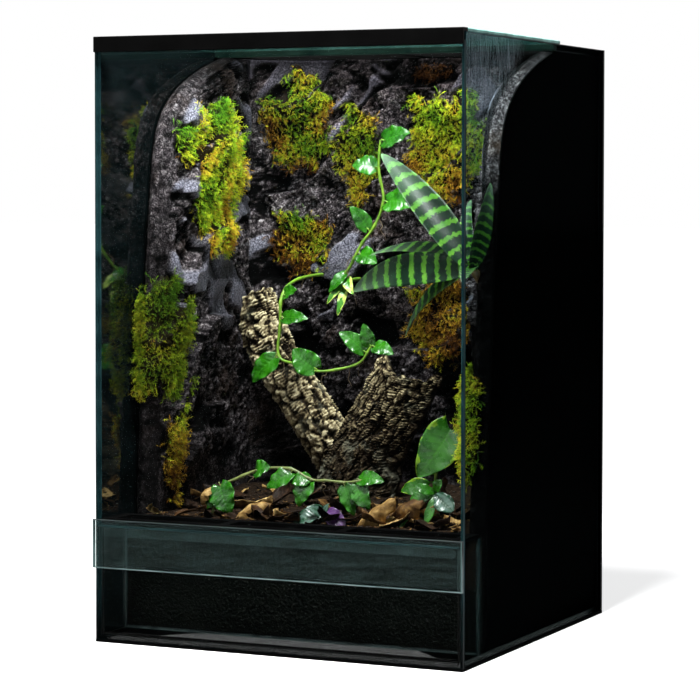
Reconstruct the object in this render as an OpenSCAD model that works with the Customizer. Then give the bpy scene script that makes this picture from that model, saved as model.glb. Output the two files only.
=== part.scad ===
// Planted terrarium: a tall glass enclosure with a lift-out front pane, a clear
// front apron, a laid-on lid, vents, a false front chamber and a planted rock liner.
// Millimetres. X is the width, +Y runs to the back, +Z is up.
// The origin is under the centre of the whole object, at the level it stands on.

/* [Enclosure] */
// Width over the two side panes
body_w = 450; // [380:10:600]
// Depth from the front pane's face to the back pane's face
body_d = 440; // [380:10:600]
// Height of the side panes' top edges above the shelf
pane_top = 680; // [660:10:900]
// Thickness of the wall panes, the door and the partition
glass_t = 5; // [4:0.5:8]
// Thickness of the pane that forms the floor
bottom_glass_t = 6; // [5:0.5:10]
// Thickness of the foam mat under the floor
base_mat_t = 3; // [2:0.5:6]
// Small bevel ground on the edges of a pane
edge_bevel = 0.6; // [0.2:0.1:1.2]

/* [Front pane and apron] */
// Height of the fixed lower front pane's top edge, where the door stands
door_sill_z = 132; // [110:2:180]
// How far the apron reaches above the foot of the door
apron_lip = 8; // [5:0.5:12]
// Height of the apron strip
apron_h = 55; // [40:1:80]
// Thickness of the apron strip
apron_t = 4; // [3:0.5:6]
// How far the apron passes each side pane
apron_over = 1.3; // [0:0.1:3]
// Thickness of the clear bond behind the apron
bond_t = 1; // [0.5:0.1:2]
// Width of the upright bond at each end of the apron
bond_end_w = 5; // [3:0.5:10]
// Height of the long bond just under the door
bond_long_h = 10; // [6:0.5:14]
// How far the door can be lifted
door_lift = 9; // [6:0.5:14]

/* [Top rail and lid] */
// Height of the top rail's front wall
rail_h = 17.5; // [14:0.5:30]
// Thickness of the rail's walls
rail_wall = 2; // [1.5:0.1:3]
// Running gap on each side of the door inside the rail
rail_gap = 0.5; // [0.3:0.1:1]
// Space behind the door inside the rail
rail_slack = 3; // [2:0.5:5]
// Thickness of the lid pane and of the rail's top
lid_t = 4; // [3:0.5:6]
// Depth from the front to the rear edge of the lid
lid_rear = 290; // [230:5:330]
// Height of the glass strip under the lid's rear edge
strip_h = 7; // [5:0.5:20]
// Depth of the glass strip under the lid's rear edge
strip_d = 10; // [5:1:20]

/* [Vents] */
// Thickness of a vent frame
vent_t = 4; // [3:0.5:6]
// Width of a vent frame's border
vent_border = 12; // [8:1:20]
// Thickness of a vent screen
screen_t = 1.2; // [0.8:0.1:2]
// Width of one slot in a vent screen
slot_w = 3; // [2:0.5:5]
// Distance from one slot to the next
slot_pitch = 7; // [5:0.5:12]

/* [Front chamber] */
// Distance from the front face to the partition pane
partition_y = 57; // [45:1:90]
// Radius of the silicone fillets
seal_r = 3; // [2:0.5:5]

/* [Rock liner] */
// Least thickness of the back panel
back_t = 40; // [25:1:60]
// Thickness of a side wing
wing_t = 22; // [16:1:32]
// Radius of the hollow corner between back and wings
cove_r = 70; // [40:1:100]
// Distance from the partition to the wing's foot
wing_gap = 17; // [14:1:40]
// How far the wing leans back half way up
wing_lean = 38; // [0:1:60]
// How far the wing sweeps back at the top
wing_sweep = 150; // [80:5:180]
// Height over which the wing sweeps back
sweep_h = 153; // [100:1:200]
// Slope of the rock layers in degrees
layer_dip = 34; // [0:1:60]
// Distance from one rock layer to the next
layer_pitch = 88; // [60:1:140]
// Height of the step at each rock layer
layer_step = 24; // [8:1:32]

/* [Planting] */
// Height of the soil at the partition
soil_front_z = 137; // [125:1:150]
// Rise of the soil from the partition to the back
soil_rise = 14; // [0:1:30]
// Height of the drainage layer's top
drain_bed_z = 78; // [50:1:100]
// Thickness of the sheet between drainage and soil
sheet_t = 1.5; // [1:0.1:3]
// Thickness of a leaf at its midrib
leaf_t = 1.2; // [0.8:0.1:2]

/* [Drain] */
// Height of the drain's centre
drain_z = 34; // [28:1:60]
// Radius of the drain's bore
drain_bore_r = 8; // [5:0.5:12]
// Wall of the drain's tube
drain_wall = 3.5; // [2:0.5:5]
// Length of the drain's tube inside the pane
drain_reach = 18; // [14:1:24]
// Thickness of the drain's washer
washer_t = 2; // [1:0.5:3]
// Thickness of the drain's flange and of the bung's head
flange_t = 3; // [2:0.5:4]

/* [Hidden] */

// Clearances between pieces that don't move, and between pieces that do
seat = 0.3;
slide_gap = 0.3;

// Levels and planes of the glass box, in a frame whose y is 0 at the front face
front_reach = apron_t + bond_t;
rear_reach = washer_t + 2 * flange_t;
front_y = -(front_reach + body_d + rear_reach) / 2 + front_reach;
half_w = body_w / 2;
in_w = half_w - glass_t;
floor_z = base_mat_t + bottom_glass_t;
rear_in = body_d - glass_t;
apron_top = door_sill_z + apron_lip;

// Planes of the rock liner and the planting
liner_x = in_w - seat;
liner_rear = rear_in - seat;
liner_foot = floor_z + seat;
liner_top = pane_top - 8;
wing_x = liner_x - wing_t;
partition_rear = partition_y + glass_t;
wing_foot = partition_rear + wing_gap;
liner_front = liner_rear - back_t;
sweep_from = liner_top - sweep_h;
lean_h = 540;

// Sizes of the drain
drain_r = drain_bore_r + drain_wall;
flange_r = drain_r + 7;
nut_r = drain_r + 6.5;
nut_t = 8;

glass = [0.62, 0.78, 0.74, 0.28];
clear = [0.82, 0.9, 0.9, 0.4];
black = [0.04, 0.04, 0.045];
rock = [0.2, 0.18, 0.21];
bark = [0.55, 0.47, 0.37];
moss_green = [0.5, 0.6, 0.12];
moss_gold = [0.62, 0.45, 0.1];
leaf_green = [0.25, 0.6, 0.12];

// ---- helpers ----

module in_place() translate([0, front_y, 0]) children();

// A carved or grown form, kept as one faceted skin
module one_mesh() resize([0, 0, 0]) union() children();

function unit(v) = v / norm(v);
function flat(rows) = [for (row = rows) for (p = row) p];
function clamp01(t) = max(0, min(1, t));

// Skin over rings of points that turn anticlockwise about the way they run
module skin(rings) {
  n = len(rings[0]);
  last = len(rings) - 1;
  walls = [
    for (i = [0:last - 1], j = [0:n - 1])
      let (a = i * n + j, b = i * n + (j + 1) % n)
        [[a, a + n, b + n], [a, b + n, b]]
  ];
  ends = [[for (j = [0:n - 1]) j], [for (j = [n - 1:-1:0]) last * n + j]];
  polyhedron(flat(rings), concat(flat(walls), ends), convexity = 6);
}

function way(path, i) = unit(path[min(i + 1, len(path) - 1)] - path[max(i - 1, 0)]);

// A round shoot along a path, r0 thick at its foot and r1 at its tip
module shoot(path, r0, r1, sides = 6) {
  last = len(path) - 1;
  skin([
    for (i = [0:last])
      let (t = way(path, i), s = unit(cross(t, [0.31, 0.9, 0.3])), u = cross(t, s),
           r = r0 + (r1 - r0) * i / last)
        [for (k = [0:sides - 1]) let (a = 360 * k / sides) path[i] + r * (cos(a) * s + sin(a) * u)]
  ]);
}

// Share of its full width that a leaf has at a point along it
function oval(s) = pow(sin(180 * pow(s, 0.8)), 0.85);
function strap(s) = (0.62 + 0.38 * sin(150 * s)) * (1 - pow(s, 5));

// A folded leaf from base to tip, its middle raised by arch, its edges by cup
module leaf(base, tip, width, arch = 0, cup = 0.15, face = [0, -0.5, 1], strappy = false, steps = 6) {
  along = unit(tip - base);
  side = unit(cross(along, face));
  up = cross(side, along);
  skin([
    for (i = [0:steps])
      let (s = i / steps,
           w = max(0.5, width / 2 * (strappy ? strap(s) : oval(s))),
           p = base + (tip - base) * s + up * (arch * 4 * s * (1 - s)))
        [p - side * w + up * cup * w, p + up * leaf_t / 2, p + side * w + up * cup * w, p - up * leaf_t / 2]
  ]);
}

// A pane with ground edges, its lowest corner at the origin
module pane_x(w, t, h) {
  b = edge_bevel;
  linear_extrude(h)
    polygon([[b, 0], [w - b, 0], [w, b], [w, t - b], [w - b, t], [b, t], [0, t - b], [0, b]]);
}

module pane_y(t, d, h) translate([t, 0, 0]) rotate([0, 0, 90]) pane_x(d, t, h);

// A quarter-round silicone fillet along +Z, its right angle at the origin
module fillet(h) {
  linear_extrude(h)
    difference() {
      square(seal_r);
      translate([seal_r, seal_r]) circle(seal_r - 0.4, $fn = 32);
    }
}

// ---- glass box ----

module base_mat() color(black) in_place()
  translate([-half_w, 0, 0]) cube([body_w, body_d, base_mat_t]);

module bottom_pane() color(glass) in_place()
  translate([-in_w, glass_t, base_mat_t]) cube([2 * in_w, rear_in - glass_t, bottom_glass_t]);

module lower_front_pane() color(glass) in_place()
  translate([-half_w, 0, base_mat_t]) pane_x(body_w, glass_t, door_sill_z - base_mat_t);

module back_pane() color(black) in_place()
  difference() {
    translate([-half_w, rear_in, base_mat_t]) pane_x(body_w, glass_t, pane_top - base_mat_t);
    translate([0, rear_in - 1, drain_z]) rotate([-90, 0, 0])
      cylinder(r = drain_r + seat, h = glass_t + 2, $fn = 48);
  }

module side_pane() translate([0, glass_t, base_mat_t])
  pane_y(glass_t, rear_in - glass_t, pane_top - base_mat_t);

module left_pane() color(black) in_place() translate([-half_w, 0, 0]) side_pane();

module right_pane() color(glass) in_place() translate([in_w, 0, 0]) side_pane();

// Black fillets in the front chamber: two uprights and one along the front of the floor
module corner_seals() color(black) in_place() {
  upright = door_sill_z - floor_z;
  translate([-in_w, glass_t, floor_z]) fillet(upright);
  translate([in_w, glass_t, floor_z]) rotate([0, 0, 90]) fillet(upright);
  translate([-in_w + seal_r, glass_t, floor_z]) rotate([90, 0, 90]) fillet(2 * (in_w - seal_r));
}

// ---- lift-out front ----

module front_apron() color(clear) in_place()
  translate([-half_w - apron_over, -front_reach, apron_top - apron_h])
    pane_x(body_w + 2 * apron_over, apron_t, apron_h);

// Clear bond: an upright at each end and one long bead with round ends under the door
module apron_bond() color([0.85, 0.9, 0.9, 0.6]) in_place() {
  bond_top = door_sill_z - 1;
  foot = apron_top - apron_h + 1;
  for (x = [-half_w + 1, half_w - 1 - bond_end_w])
    translate([x, -bond_t, foot]) cube([bond_end_w, bond_t, bond_top - foot]);
  reach = half_w - bond_end_w - bond_long_h / 2 - 3;
  translate([0, 0, bond_top - bond_long_h / 2]) rotate([90, 0, 0])
    linear_extrude(bond_t) {
      square([2 * reach, bond_long_h], center = true);
      for (x = [-reach, reach]) translate([x, 0]) circle(bond_long_h / 2, $fn = 40);
    }
}

module door_pane() color(glass) in_place()
  translate([-half_w, 0, door_sill_z])
    pane_x(body_w, glass_t, pane_top - door_lift - rail_gap - door_sill_z);

// Upside-down channel along the top front edge, its rear wall between the side panes
module top_rail() color(black) in_place() {
  rail_front = -rail_gap - rail_wall;
  rail_back = glass_t + rail_slack + rail_wall;
  rail_top = pane_top + lid_t;
  r = 1.2;
  translate([half_w, 0, 0]) rotate([90, 0, -90])
    linear_extrude(body_w)
      difference() {
        union() {
          translate([-rail_back, pane_top]) square([rail_back - rail_front - r, lid_t]);
          translate([-rail_front - rail_wall, rail_top - rail_h]) square([rail_wall, rail_h - r]);
          translate([-rail_front - r, rail_top - r]) circle(r, $fn = 32);
        }
        translate([-rail_front, rail_top - rail_h]) rotate([0, 0, 45]) square(0.9, center = true);
      }
  translate([-in_w + seat, rail_back - rail_wall, rail_top - rail_h])
    cube([2 * (in_w - seat), rail_wall, rail_h - lid_t]);
}

// ---- top ----

module lid_pane() color(glass) in_place() {
  lid_front = glass_t + rail_slack + rail_wall + slide_gap;
  translate([-half_w + 1, lid_front, pane_top]) pane_x(body_w - 2, lid_rear - lid_front, lid_t);
}

module lid_support_strip() color(glass) in_place()
  translate([-in_w + seat, lid_rear - strip_d, pane_top - strip_h])
    cube([2 * (in_w - seat), strip_d, strip_h]);

// A flat frame with rounded windows side by side
module vent_frame(w, d, border, windows) {
  window_w = (w - border * (windows + 1)) / windows;
  r = 4;
  linear_extrude(vent_t)
    difference() {
      square([w, d]);
      for (i = [0:windows - 1])
        translate([border + i * (window_w + border), border]) {
          translate([r, 0]) square([window_w - 2 * r, d - 2 * border]);
          translate([0, r]) square([window_w, d - 2 * border - 2 * r]);
          for (x = [r, window_w - r], y = [r, d - 2 * border - r])
            translate([x, y]) circle(r, $fn = 32);
        }
    }
}

// A slotted screen: one row of slots to each window of its frame
module vent_screen(w, d, border, windows) {
  window_w = (w - border * (windows + 1)) / windows;
  slots = floor((window_w - slot_w) / slot_pitch);
  inset = (window_w - (slots - 1) * slot_pitch - slot_w) / 2;
  linear_extrude(screen_t)
    difference() {
      translate([2, 2]) square([w - 4, d - 4]);
      for (i = [0:windows - 1], k = [0:slots - 1])
        translate([border + i * (window_w + border) + inset + k * slot_pitch, border + 2])
          square([slot_w, d - 2 * border - 4]);
    }
}

rear_vent_w = 2 * (in_w - seat);
rear_vent_d = liner_rear - lid_rear;
rear_vent_windows = 2;

module rear_vent_frame() color(black) in_place()
  translate([-in_w + seat, lid_rear, pane_top - vent_t])
    vent_frame(rear_vent_w, rear_vent_d, vent_border, rear_vent_windows);

module rear_vent_screen() color([0.25, 0.25, 0.26]) in_place()
  translate([-in_w + seat, lid_rear, pane_top - vent_t - screen_t])
    vent_screen(rear_vent_w, rear_vent_d, vent_border, rear_vent_windows);

// ---- front chamber ----

front_vent_w = 2 * (in_w - seat);
front_vent_d = partition_rear - glass_t - slide_gap;
front_vent_windows = 3;
deck_z = apron_top - vent_t;

module front_vent_frame() color(black) in_place()
  translate([-in_w + seat, glass_t + slide_gap, deck_z])
    vent_frame(front_vent_w, front_vent_d, vent_border, front_vent_windows);

module front_vent_screen() color([0.3, 0.3, 0.34]) in_place()
  difference() {
    translate([-in_w + seat, glass_t + slide_gap, deck_z - screen_t])
      vent_screen(front_vent_w, front_vent_d, vent_border, front_vent_windows);
    translate([-in_w, partition_y - seat, deck_z - 2 * screen_t])
      cube([2 * in_w, glass_t + 1, 3 * screen_t]);
    for (x = [-in_w, in_w - seal_r])
      translate([x, glass_t, deck_z - 2 * screen_t]) cube([seal_r, seal_r + seat, 3 * screen_t]);
  }

module partition_pane() color(glass) in_place()
  translate([-in_w + seat, partition_y, floor_z]) pane_x(2 * (in_w - seat), glass_t, deck_z - floor_z);

// Clear fillets in the partition's front corners and along its foot
module partition_seals() color([0.75, 0.8, 0.8, 0.6]) in_place() {
  upright = deck_z - 3 * screen_t - floor_z;
  translate([-in_w, partition_y, floor_z]) rotate([0, 0, -90]) fillet(upright);
  translate([in_w, partition_y, floor_z]) rotate([0, 0, 180]) fillet(upright);
  translate([in_w - seal_r, partition_y, floor_z]) rotate([90, 0, -90])
    fillet(2 * (in_w - seal_r));
}

// ---- rock liner ----

// Layered rock: ramps that end in a step, with a slow swell over them
function layers(u, v) =
  let (s = (v * cos(layer_dip) - u * sin(layer_dip)) / layer_pitch + 0.22 * sin(1.9 * u))
    pow(s - floor(s), 1.6);
function swell(u, v) = 0.5 + 0.5 * sin(2.1 * u + 1.3 * v) * cos(1.7 * v - 0.8 * u);
function relief(u, v) = layer_step * layers(u, v) + 6 * swell(u, v);

// The relief fades out at the soil, where the liner is flat
function above_soil(z) = clamp01((z - soil_front_z - soil_rise - 12) / 40);
function cove(x) = cove_r * pow(clamp01((abs(x) - wing_x + cove_r) / cove_r), 2.4);
function beside_wing(x) = clamp01((wing_x - abs(x)) / 30);
function back_face(x, z) = liner_front - cove(x) - above_soil(z) * beside_wing(x) * relief(x, z);

// Front edge of a wing: leans back, then sweeps back near the top
function wing_edge(z) =
  wing_foot + wing_lean * pow(z / lean_h, 2)
  + wing_sweep * pow(clamp01((z - sweep_from) / sweep_h), 2.5);
function wing_relief(y, z) =
  above_soil(z) * clamp01((liner_front - cove_r - 40 - y) / 60)
  * clamp01((y - wing_edge(z)) / 30) * 0.7 * relief(y + 140, z);

back_cols = 26;
back_rows = 36;
rock_gap = 0.2;  // between the back rock and each wing
back_half = wing_x - rock_gap;
function back_x(i) = back_half * (2 * i / back_cols - 1);

wing_cols = 12;
wing_rows = 28;

// Solid between a grid of points and a flat face behind it
module relief_solid(grid, rear) {
  rows = len(grid) - 1;
  cols = len(grid[0]) - 1;
  n = cols + 1;
  r = (rows + 1) * n;
  tiles = [
    for (j = [0:rows - 1], i = [0:cols - 1])
      let (a = j * n + i) [[a, a + n, a + 1], [a + 1, a + n, a + n + 1]]
  ];
  foot = concat([for (i = [0:cols]) i], [r + 1, r]);
  head = concat([for (i = [cols:-1:0]) rows * n + i], [r + 3, r + 2]);
  left = concat([for (j = [rows:-1:0]) j * n], [r, r + 3]);
  right = concat([for (j = [0:rows]) j * n + cols], [r + 2, r + 1]);
  polyhedron(concat(flat(grid), rear),
    concat(flat(tiles), [foot, head, left, right, [r, r + 1, r + 2, r + 3]]), convexity = 10);
}

module back_rock(grow = 0) {
  relief_solid(
    [
      for (j = [0:back_rows])
        let (z = liner_foot + (liner_top - liner_foot) * j / back_rows)
          [for (i = [0:back_cols]) let (x = back_x(i)) [x, back_face(x, z) - grow, z]]
    ],
    [[-back_half, liner_rear, liner_foot], [back_half, liner_rear, liner_foot],
     [back_half, liner_rear, liner_top], [-back_half, liner_rear, liner_top]]);
}

// Left wing, seen as points from its nose back along its inner face.
// The outer face is a plane against the side pane.
function wing_row(z, grow) =
  let (e = wing_edge(z))
    concat(
      [[-liner_x, e - grow, z], [-liner_x + 5, e - 6 - grow, z], [-liner_x + 12, e - 8 - grow, z],
       [-liner_x + wing_t - 4, e - 3 - grow, z]],
      [
        for (i = [0:wing_cols])
          let (y = e + 6 + (liner_rear - e - 6) * pow(i / wing_cols, 1.2))
            [-wing_x + wing_relief(y, z) + grow, y, z]
      ]);

module wing_rock(grow = 0) {
  rows = [
    for (j = [0:wing_rows])
      wing_row(liner_foot + (liner_top - liner_foot) * (1 - pow(1 - j / wing_rows, 1.25)), grow)
  ];
  n = len(rows[0]);
  m = wing_rows;
  corner = (m + 1) * n;
  tiles = [
    for (j = [0:m - 1], i = [0:n - 2])
      let (a = j * n + i) [[a, a + n, a + 1], [a + 1, a + n, a + n + 1]]
  ];
  foot = concat([for (i = [0:n - 1]) i], [corner]);
  head = concat([for (i = [n - 1:-1:0]) m * n + i], [corner + 1]);
  outer = concat([for (j = [m:-1:0]) j * n], [corner, corner + 1]);
  rear = concat([for (j = [0:m]) j * n + n - 1], [corner + 1, corner]);
  polyhedron(
    concat(flat(rows), [[-liner_x, liner_rear, liner_foot], [-liner_x, liner_rear, liner_top]]),
    concat(flat(tiles), [foot, head, outer, rear]), convexity = 10);
}

// Notch at the foot of the back panel that lets water reach the drain
module drain_notch() translate([-nut_r - 6, liner_front - cove_r, liner_foot - 1])
  cube([2 * nut_r + 12, back_t + cove_r + 1, drain_z + nut_r - liner_foot + 6]);

module background_back() color(rock) in_place()
  one_mesh() difference() {
    back_rock();
    drain_notch();
  }

module background_left() color(rock) in_place() one_mesh() wing_rock();

module background_right() color(rock) in_place() mirror([1, 0, 0]) one_mesh() wing_rock();

// Everything of the liner, a little grown, that planting is fitted against
module liner_space() {
  back_rock(seat);
  wing_rock(seat);
  mirror([1, 0, 0]) wing_rock(seat);
}

// ---- ground ----

function soil_z(x, y) =
  soil_front_z + soil_rise * clamp01((y - partition_rear) / (liner_front - partition_rear))
  + 2.5 * sin(2.4 * x + 30) * cos(2.9 * y) - 1;

// Plan of the space between partition, wings and back panel. Its rear edge has a corner
// at each column of the back panel, so it runs parallel to the panel's face.
module ground_plan(gap) {
  bed_front = partition_rear + gap;
  wing_in = wing_x - gap;
  arc = [
    for (i = [back_cols:-1:0])
      let (x = max(-wing_in, min(wing_in, back_x(i)))) [x, liner_front - cove(x) - gap]
  ];
  nose = wing_foot - 12;
  polygon(concat(
    [[-in_w + gap, bed_front], [in_w - gap, bed_front], [in_w - gap, nose], [wing_in, nose]],
    arc, [[-wing_in, nose], [-in_w + gap, nose]]));
}

module drainage_layer() color([0.3, 0.2, 0.14]) in_place()
  translate([0, 0, floor_z + seat]) linear_extrude(drain_bed_z - floor_z - seat) ground_plan(2 * seat);

module drainage_sheet() color([0.12, 0.12, 0.12]) in_place()
  translate([0, 0, drain_bed_z]) linear_extrude(sheet_t) ground_plan(2 * seat);

soil_cols = 18;
soil_rows = 14;

module soil_surface(grow = 0) {
  foot = drain_bed_z + sheet_t;
  y0 = partition_y;
  y1 = liner_rear;
  rows = [
    for (j = [0:soil_rows])
      let (y = y0 + (y1 - y0) * j / soil_rows)
        [for (i = [0:soil_cols]) let (x = in_w * (2 * i / soil_cols - 1)) [x, y, soil_z(x, y) + grow]]
  ];
  relief_solid(rows, [[-in_w, y0, foot], [in_w, y0, foot], [in_w, y1, foot], [-in_w, y1, foot]]);
}

module substrate() color([0.16, 0.11, 0.08]) in_place()
  one_mesh() intersection() {
    soil_surface();
    linear_extrude(pane_top) ground_plan(2 * seat);
  }

// What plants and bark stand on and lean against
module seats() {
  liner_space();
  soil_surface(seat);
}

litter = [
  // x, y, length, turn, curl
  [-136, 128, 46, 20, 9], [-84, 142, 60, 75, 12], [-55, 92, 52, -30, 8], [-20, 112, 56, 40, 10],
  [-8, 160, 48, 110, 9], [-70, 190, 50, 10, 8], [-130, 170, 44, 60, 7], [82, 92, 66, 24, 16],
  [108, 128, 60, -35, 14], [60, 160, 50, 80, 9], [150, 105, 48, 150, 9], [20, 215, 52, -15, 9]
];

module leaf_litter() color([0.5, 0.33, 0.16]) in_place()
  one_mesh() difference() {
    for (l = litter)
      let (run = l[2] * [cos(l[3]), sin(l[3]), 0],
           at = [l[0], l[1], soil_z(l[0], l[1]) - 1] - run / 2)
        leaf(at + [0, 0, l[4] / 3], at + run + [0, 0, l[4] / 2], l[2] * 0.5, -l[4] / 3, 0.35, [0, 0, 1], steps = 4);
    soil_surface(seat);
  }

// ---- cork bark ----

function bark_rough(a, i) = 1 + 0.09 * sin(3 * a + 47 * i) + 0.06 * sin(8 * a - 71 * i);

limb_path = [
  [-64, 334, 130], [-70, 334, 168], [-84, 330, 200], [-101, 326, 232], [-119, 322, 262],
  [-137, 318, 292], [-149, 316, 314], [-160, 315, 338], [-170, 315, 362], [-178, 315, 384]
];

// Tube of bark: the skin runs up the outside, over the broken rim and down inside
module limb_skin() {
  last = len(limb_path) - 1;
  sides = 18;
  outside = [
    for (i = [0:last])
      let (t = way(limb_path, i), s = unit(cross(t, [0, 1, 0])), u = cross(t, s))
        [for (k = [0:sides - 1]) let (a = 360 * k / sides, r = bark_rough(a, i))
          limb_path[i] + r * (25 * cos(a) * s + 17 * sin(a) * u)]
  ];
  rim = outside[last];
  top = limb_path[last];
  sink = limb_path[last - 1] - top;
  skin(concat(outside,
    [[for (k = [0:sides - 1]) top + 0.72 * (rim[k] - top) + [0, 0, 3 * sin(140 * k)]]],
    [[for (k = [0:sides - 1]) top + 0.6 * (rim[k] - top) + sink]]));
}

// Left and right edge of the curved slab from its foot to its top
slab_left = [[-88, 128], [-86, 160], [-76, 196], [-60, 228], [-42, 258], [-25, 290], [-10, 318]];
slab_right = [[14, 122], [14, 152], [22, 184], [32, 212], [44, 240], [56, 266], [66, 290]];
slab_t = 12;

function slab_y(i) = 286 + 4 * i;

module slab_skin() {
  arc = 9;
  skin([
    for (i = [0:len(slab_left) - 1])
      let (l = slab_left[i], r = slab_right[i], span = r - l)
        concat(
          [for (k = [0:arc]) let (s = k / arc, bulge = 30 * sin(180 * s) * bark_rough(150 * s, i))
            [l[0] + span[0] * s, slab_y(i) - bulge, l[1] + span[1] * s - (i == 6 ? 12 * sin(180 * s) : 0)]],
          [for (k = [arc:-1:0]) let (s = 0.06 + 0.88 * k / arc, bulge = 30 * sin(180 * s))
            [l[0] + span[0] * s, slab_y(i) - bulge + slab_t, l[1] + span[1] * s - (i == 6 ? 12 * sin(180 * s) : 0)]])
  ]);
}

module cork_left_limb() color(bark) in_place() one_mesh() difference() {
  limb_skin();
  seats();
}

module cork_right_slab() color(bark) in_place() one_mesh() difference() {
  slab_skin();
  seats();
}

// ---- plants ----

// A vine's root reaches into what it grows on and is trimmed flush with it
module planted() one_mesh() difference() {
  union() children();
  seats();
}

upper_stem = [
  [-80, 420, 402], [-68, 330, 404], [-50, 313, 425], [-36, 310, 448], [-19, 310, 470],
  [-8, 310, 500], [-14, 310, 536], [-12, 310, 572]
];

module upper_vine() color(leaf_green) in_place() planted() {
  shoot(upper_stem, 1.9, 1.4);
  leaf([-12, 310, 570], [30, 304, 580], 25, 4);
  leaf([-15, 310, 538], [-47, 306, 542], 22, 3);
  leaf([-8, 310, 498], [36, 302, 492], 27, 4);
  leaf([-26, 310, 462], [-49, 304, 492], 17, 2, 0.15, [0.3, -1, 0.2]);
  leaf([-42, 311, 436], [-12, 300, 424], 22, 3);
  leaf([-58, 318, 416], [-88, 306, 366], 18, 3, 0.15, [0.3, -1, 0.2]);
  leaf([-60, 322, 413], [-42, 306, 380], 14, 2, 0.15, [0.3, -1, 0.2]);
}

middle_stem = [
  [-118, 420, 408], [-119, 330, 406], [-121, 285, 398], [-124, 268, 380], [-124, 266, 350],
  [-126, 266, 312], [-99, 262, 303], [-70, 258, 296], [-39, 262, 300], [-18, 266, 308], [-4, 268, 328]
];

module middle_vine() color(leaf_green) in_place() planted() {
  shoot(middle_stem, 1.9, 1.3);
  leaf([-123, 271.5, 384], [-100, 262, 392], 16, 2);
  leaf([-124, 266, 358], [-84, 260, 358], 17, 4, 0.1, [0, -0.6, 0.8]);
  leaf([-126, 266, 314], [-160, 262, 280], 22, 3, 0.1, [-0.2, -1, 0.3]);
  leaf([-70, 258, 296], [-101, 254, 322], 26, 3, 0.1, [0.2, -1, 0.3]);
  leaf([-10, 267, 318], [-44, 262, 343], 18, 3, 0.1, [0.2, -1, 0.3]);
  leaf([-5, 268, 325], [-12, 262, 354], 15, 2, 0.1, [0.2, -1, 0.3]);
  leaf([-4, 268, 327], [27, 262, 318], 16, 3, 0.1, [0, -0.8, 0.6]);
}

ground_stem = [
  [-128, 92, 110], [-126, 95, 138], [-121, 100, 168], [-98, 106, 182], [-69, 110, 193],
  [-34, 110, 195], [-7, 110, 184], [14, 108, 184], [36, 108, 183], [56, 108, 186], [76, 110, 192]
];

module ground_vine() color(leaf_green) in_place() planted() {
  shoot(ground_stem, 1.9, 1.3);
  leaf([-122, 99, 162], [-108, 96, 142], 24, 2, 0.1, [0.1, -1, 0.2]);
  leaf([-76, 109, 191], [-58, 104, 204], 18, 2, 0.1, [0, -0.7, 0.8]);
  leaf([-34, 110, 195], [-62, 104, 174], 20, 3, 0.1, [0.1, -1, 0.3]);
  leaf([-7, 110, 184], [-20, 104, 153], 22, 3, 0.1, [0.1, -1, 0.3]);
  leaf([-7, 110, 184], [-34, 108, 182], 12, 1, 0.1, [0.1, -0.8, 0.5]);
  leaf([30, 108, 183], [42, 104, 148], 20, 2, 0.1, [0.1, -1, 0.3]);
  leaf([56, 108, 186], [57, 102, 156], 18, 2, 0.1, [0.1, -1, 0.3]);
  leaf([76, 110, 192], [96, 106, 198], 14, 2, 0.1, [0, -0.7, 0.8]);
}

module broad_leaf_plant() color(leaf_green) in_place() planted() {
  shoot([[126, 158, 110], [126, 156, 150], [129, 153, 200], [134, 150, 246]], 2.4, 1.6);
  leaf([134, 150, 244], [104, 142, 188], 40, 5, 0.12, [0.3, -1, 0.35], steps = 8);
  shoot([[124, 160, 110], [116, 164, 150], [112, 166, 176]], 1.6, 1.2);
  leaf([112, 166, 174], [82, 160, 170], 22, 4, 0.12, [0, -0.7, 0.8]);
}

module silver_leaf_plant() color([0.4, 0.5, 0.42]) in_place() planted() {
  for (l = [[-16, 84, 146, 18], [4, 78, 158, 16], [26, 84, 153, 16], [20, 92, 162, 15], [48, 86, 143, 14]])
    leaf([14, 100, 128], [l[0], l[1], l[2]], l[3], 6, 0.15, [0, -0.5, 1]);
}

module small_leaf_plant() color([0.3, 0.55, 0.2]) in_place() planted() {
  root = [146, 122, 128];
  shoot([root, [146, 120, 150], [143, 116, 168]], 1.8, 1.2);
  for (l = [[118, 110, 178, 16], [168, 112, 180, 17], [162, 104, 150, 15], [138, 108, 186, 16], [130, 104, 145, 13]])
    leaf([144, 117, 164], [l[0], l[1], l[2]], l[3], 3, 0.12, [0, -0.8, 0.6]);
}

// Rosette of strap leaves on the rim of the right wing
brom_z = 425;
brom = [wing_x + 3, wing_edge(brom_z) - 22, brom_z];

module striped_bromeliad() color([0.2, 0.5, 0.18]) in_place() planted() {
  shoot([brom + [6, 30, -12], brom + [2, 6, -4], brom + [0, 0, 4]], 11, 14, 8);
  for (l = [
    // reach in x, y and z, then width and arch
    [-136, 62, 128, 34, 12], [-172, 66, -28, 34, 16], [-164, 92, 12, 22, 10], [-96, 40, -76, 26, 10],
    [-8, 66, 96, 26, 8], [5, -38, -12, 20, 6], [-24, 56, 76, 18, 8], [-44, 22, 24, 18, 8]
  ])
    leaf(brom, brom + [l[0], l[1], l[2]], l[3], l[4], 0.3, [0.05, -0.7, 0.8], true, 8);
}

// ---- moss ----

// A hummock of moss: w wide, h tall and t proud of the wall, narrowing towards its foot by taper
module hummock(w, h, t, depth, seed, taper = 0) {
  sides = 18;
  bands = 4;
  function edge(a) = 1 + 0.09 * sin(5 * a + seed) + 0.05 * sin(9 * a + 2 * seed);
  function ring(r, z) = [
    for (k = [0:sides - 1])
      let (a = 360 * k / sides, y = r * edge(a) * sin(a))
        [w / 2 * r * edge(a) * cos(a) * (1 + taper * y), h / 2 * y, z * (1 + 0.12 * sin(3 * a + seed * z))]
  ];
  skin(concat([ring(1, -depth)], [for (b = [0:bands]) let (p = 88 * b / bands) ring(cos(p), t * sin(p))]));
}

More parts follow.
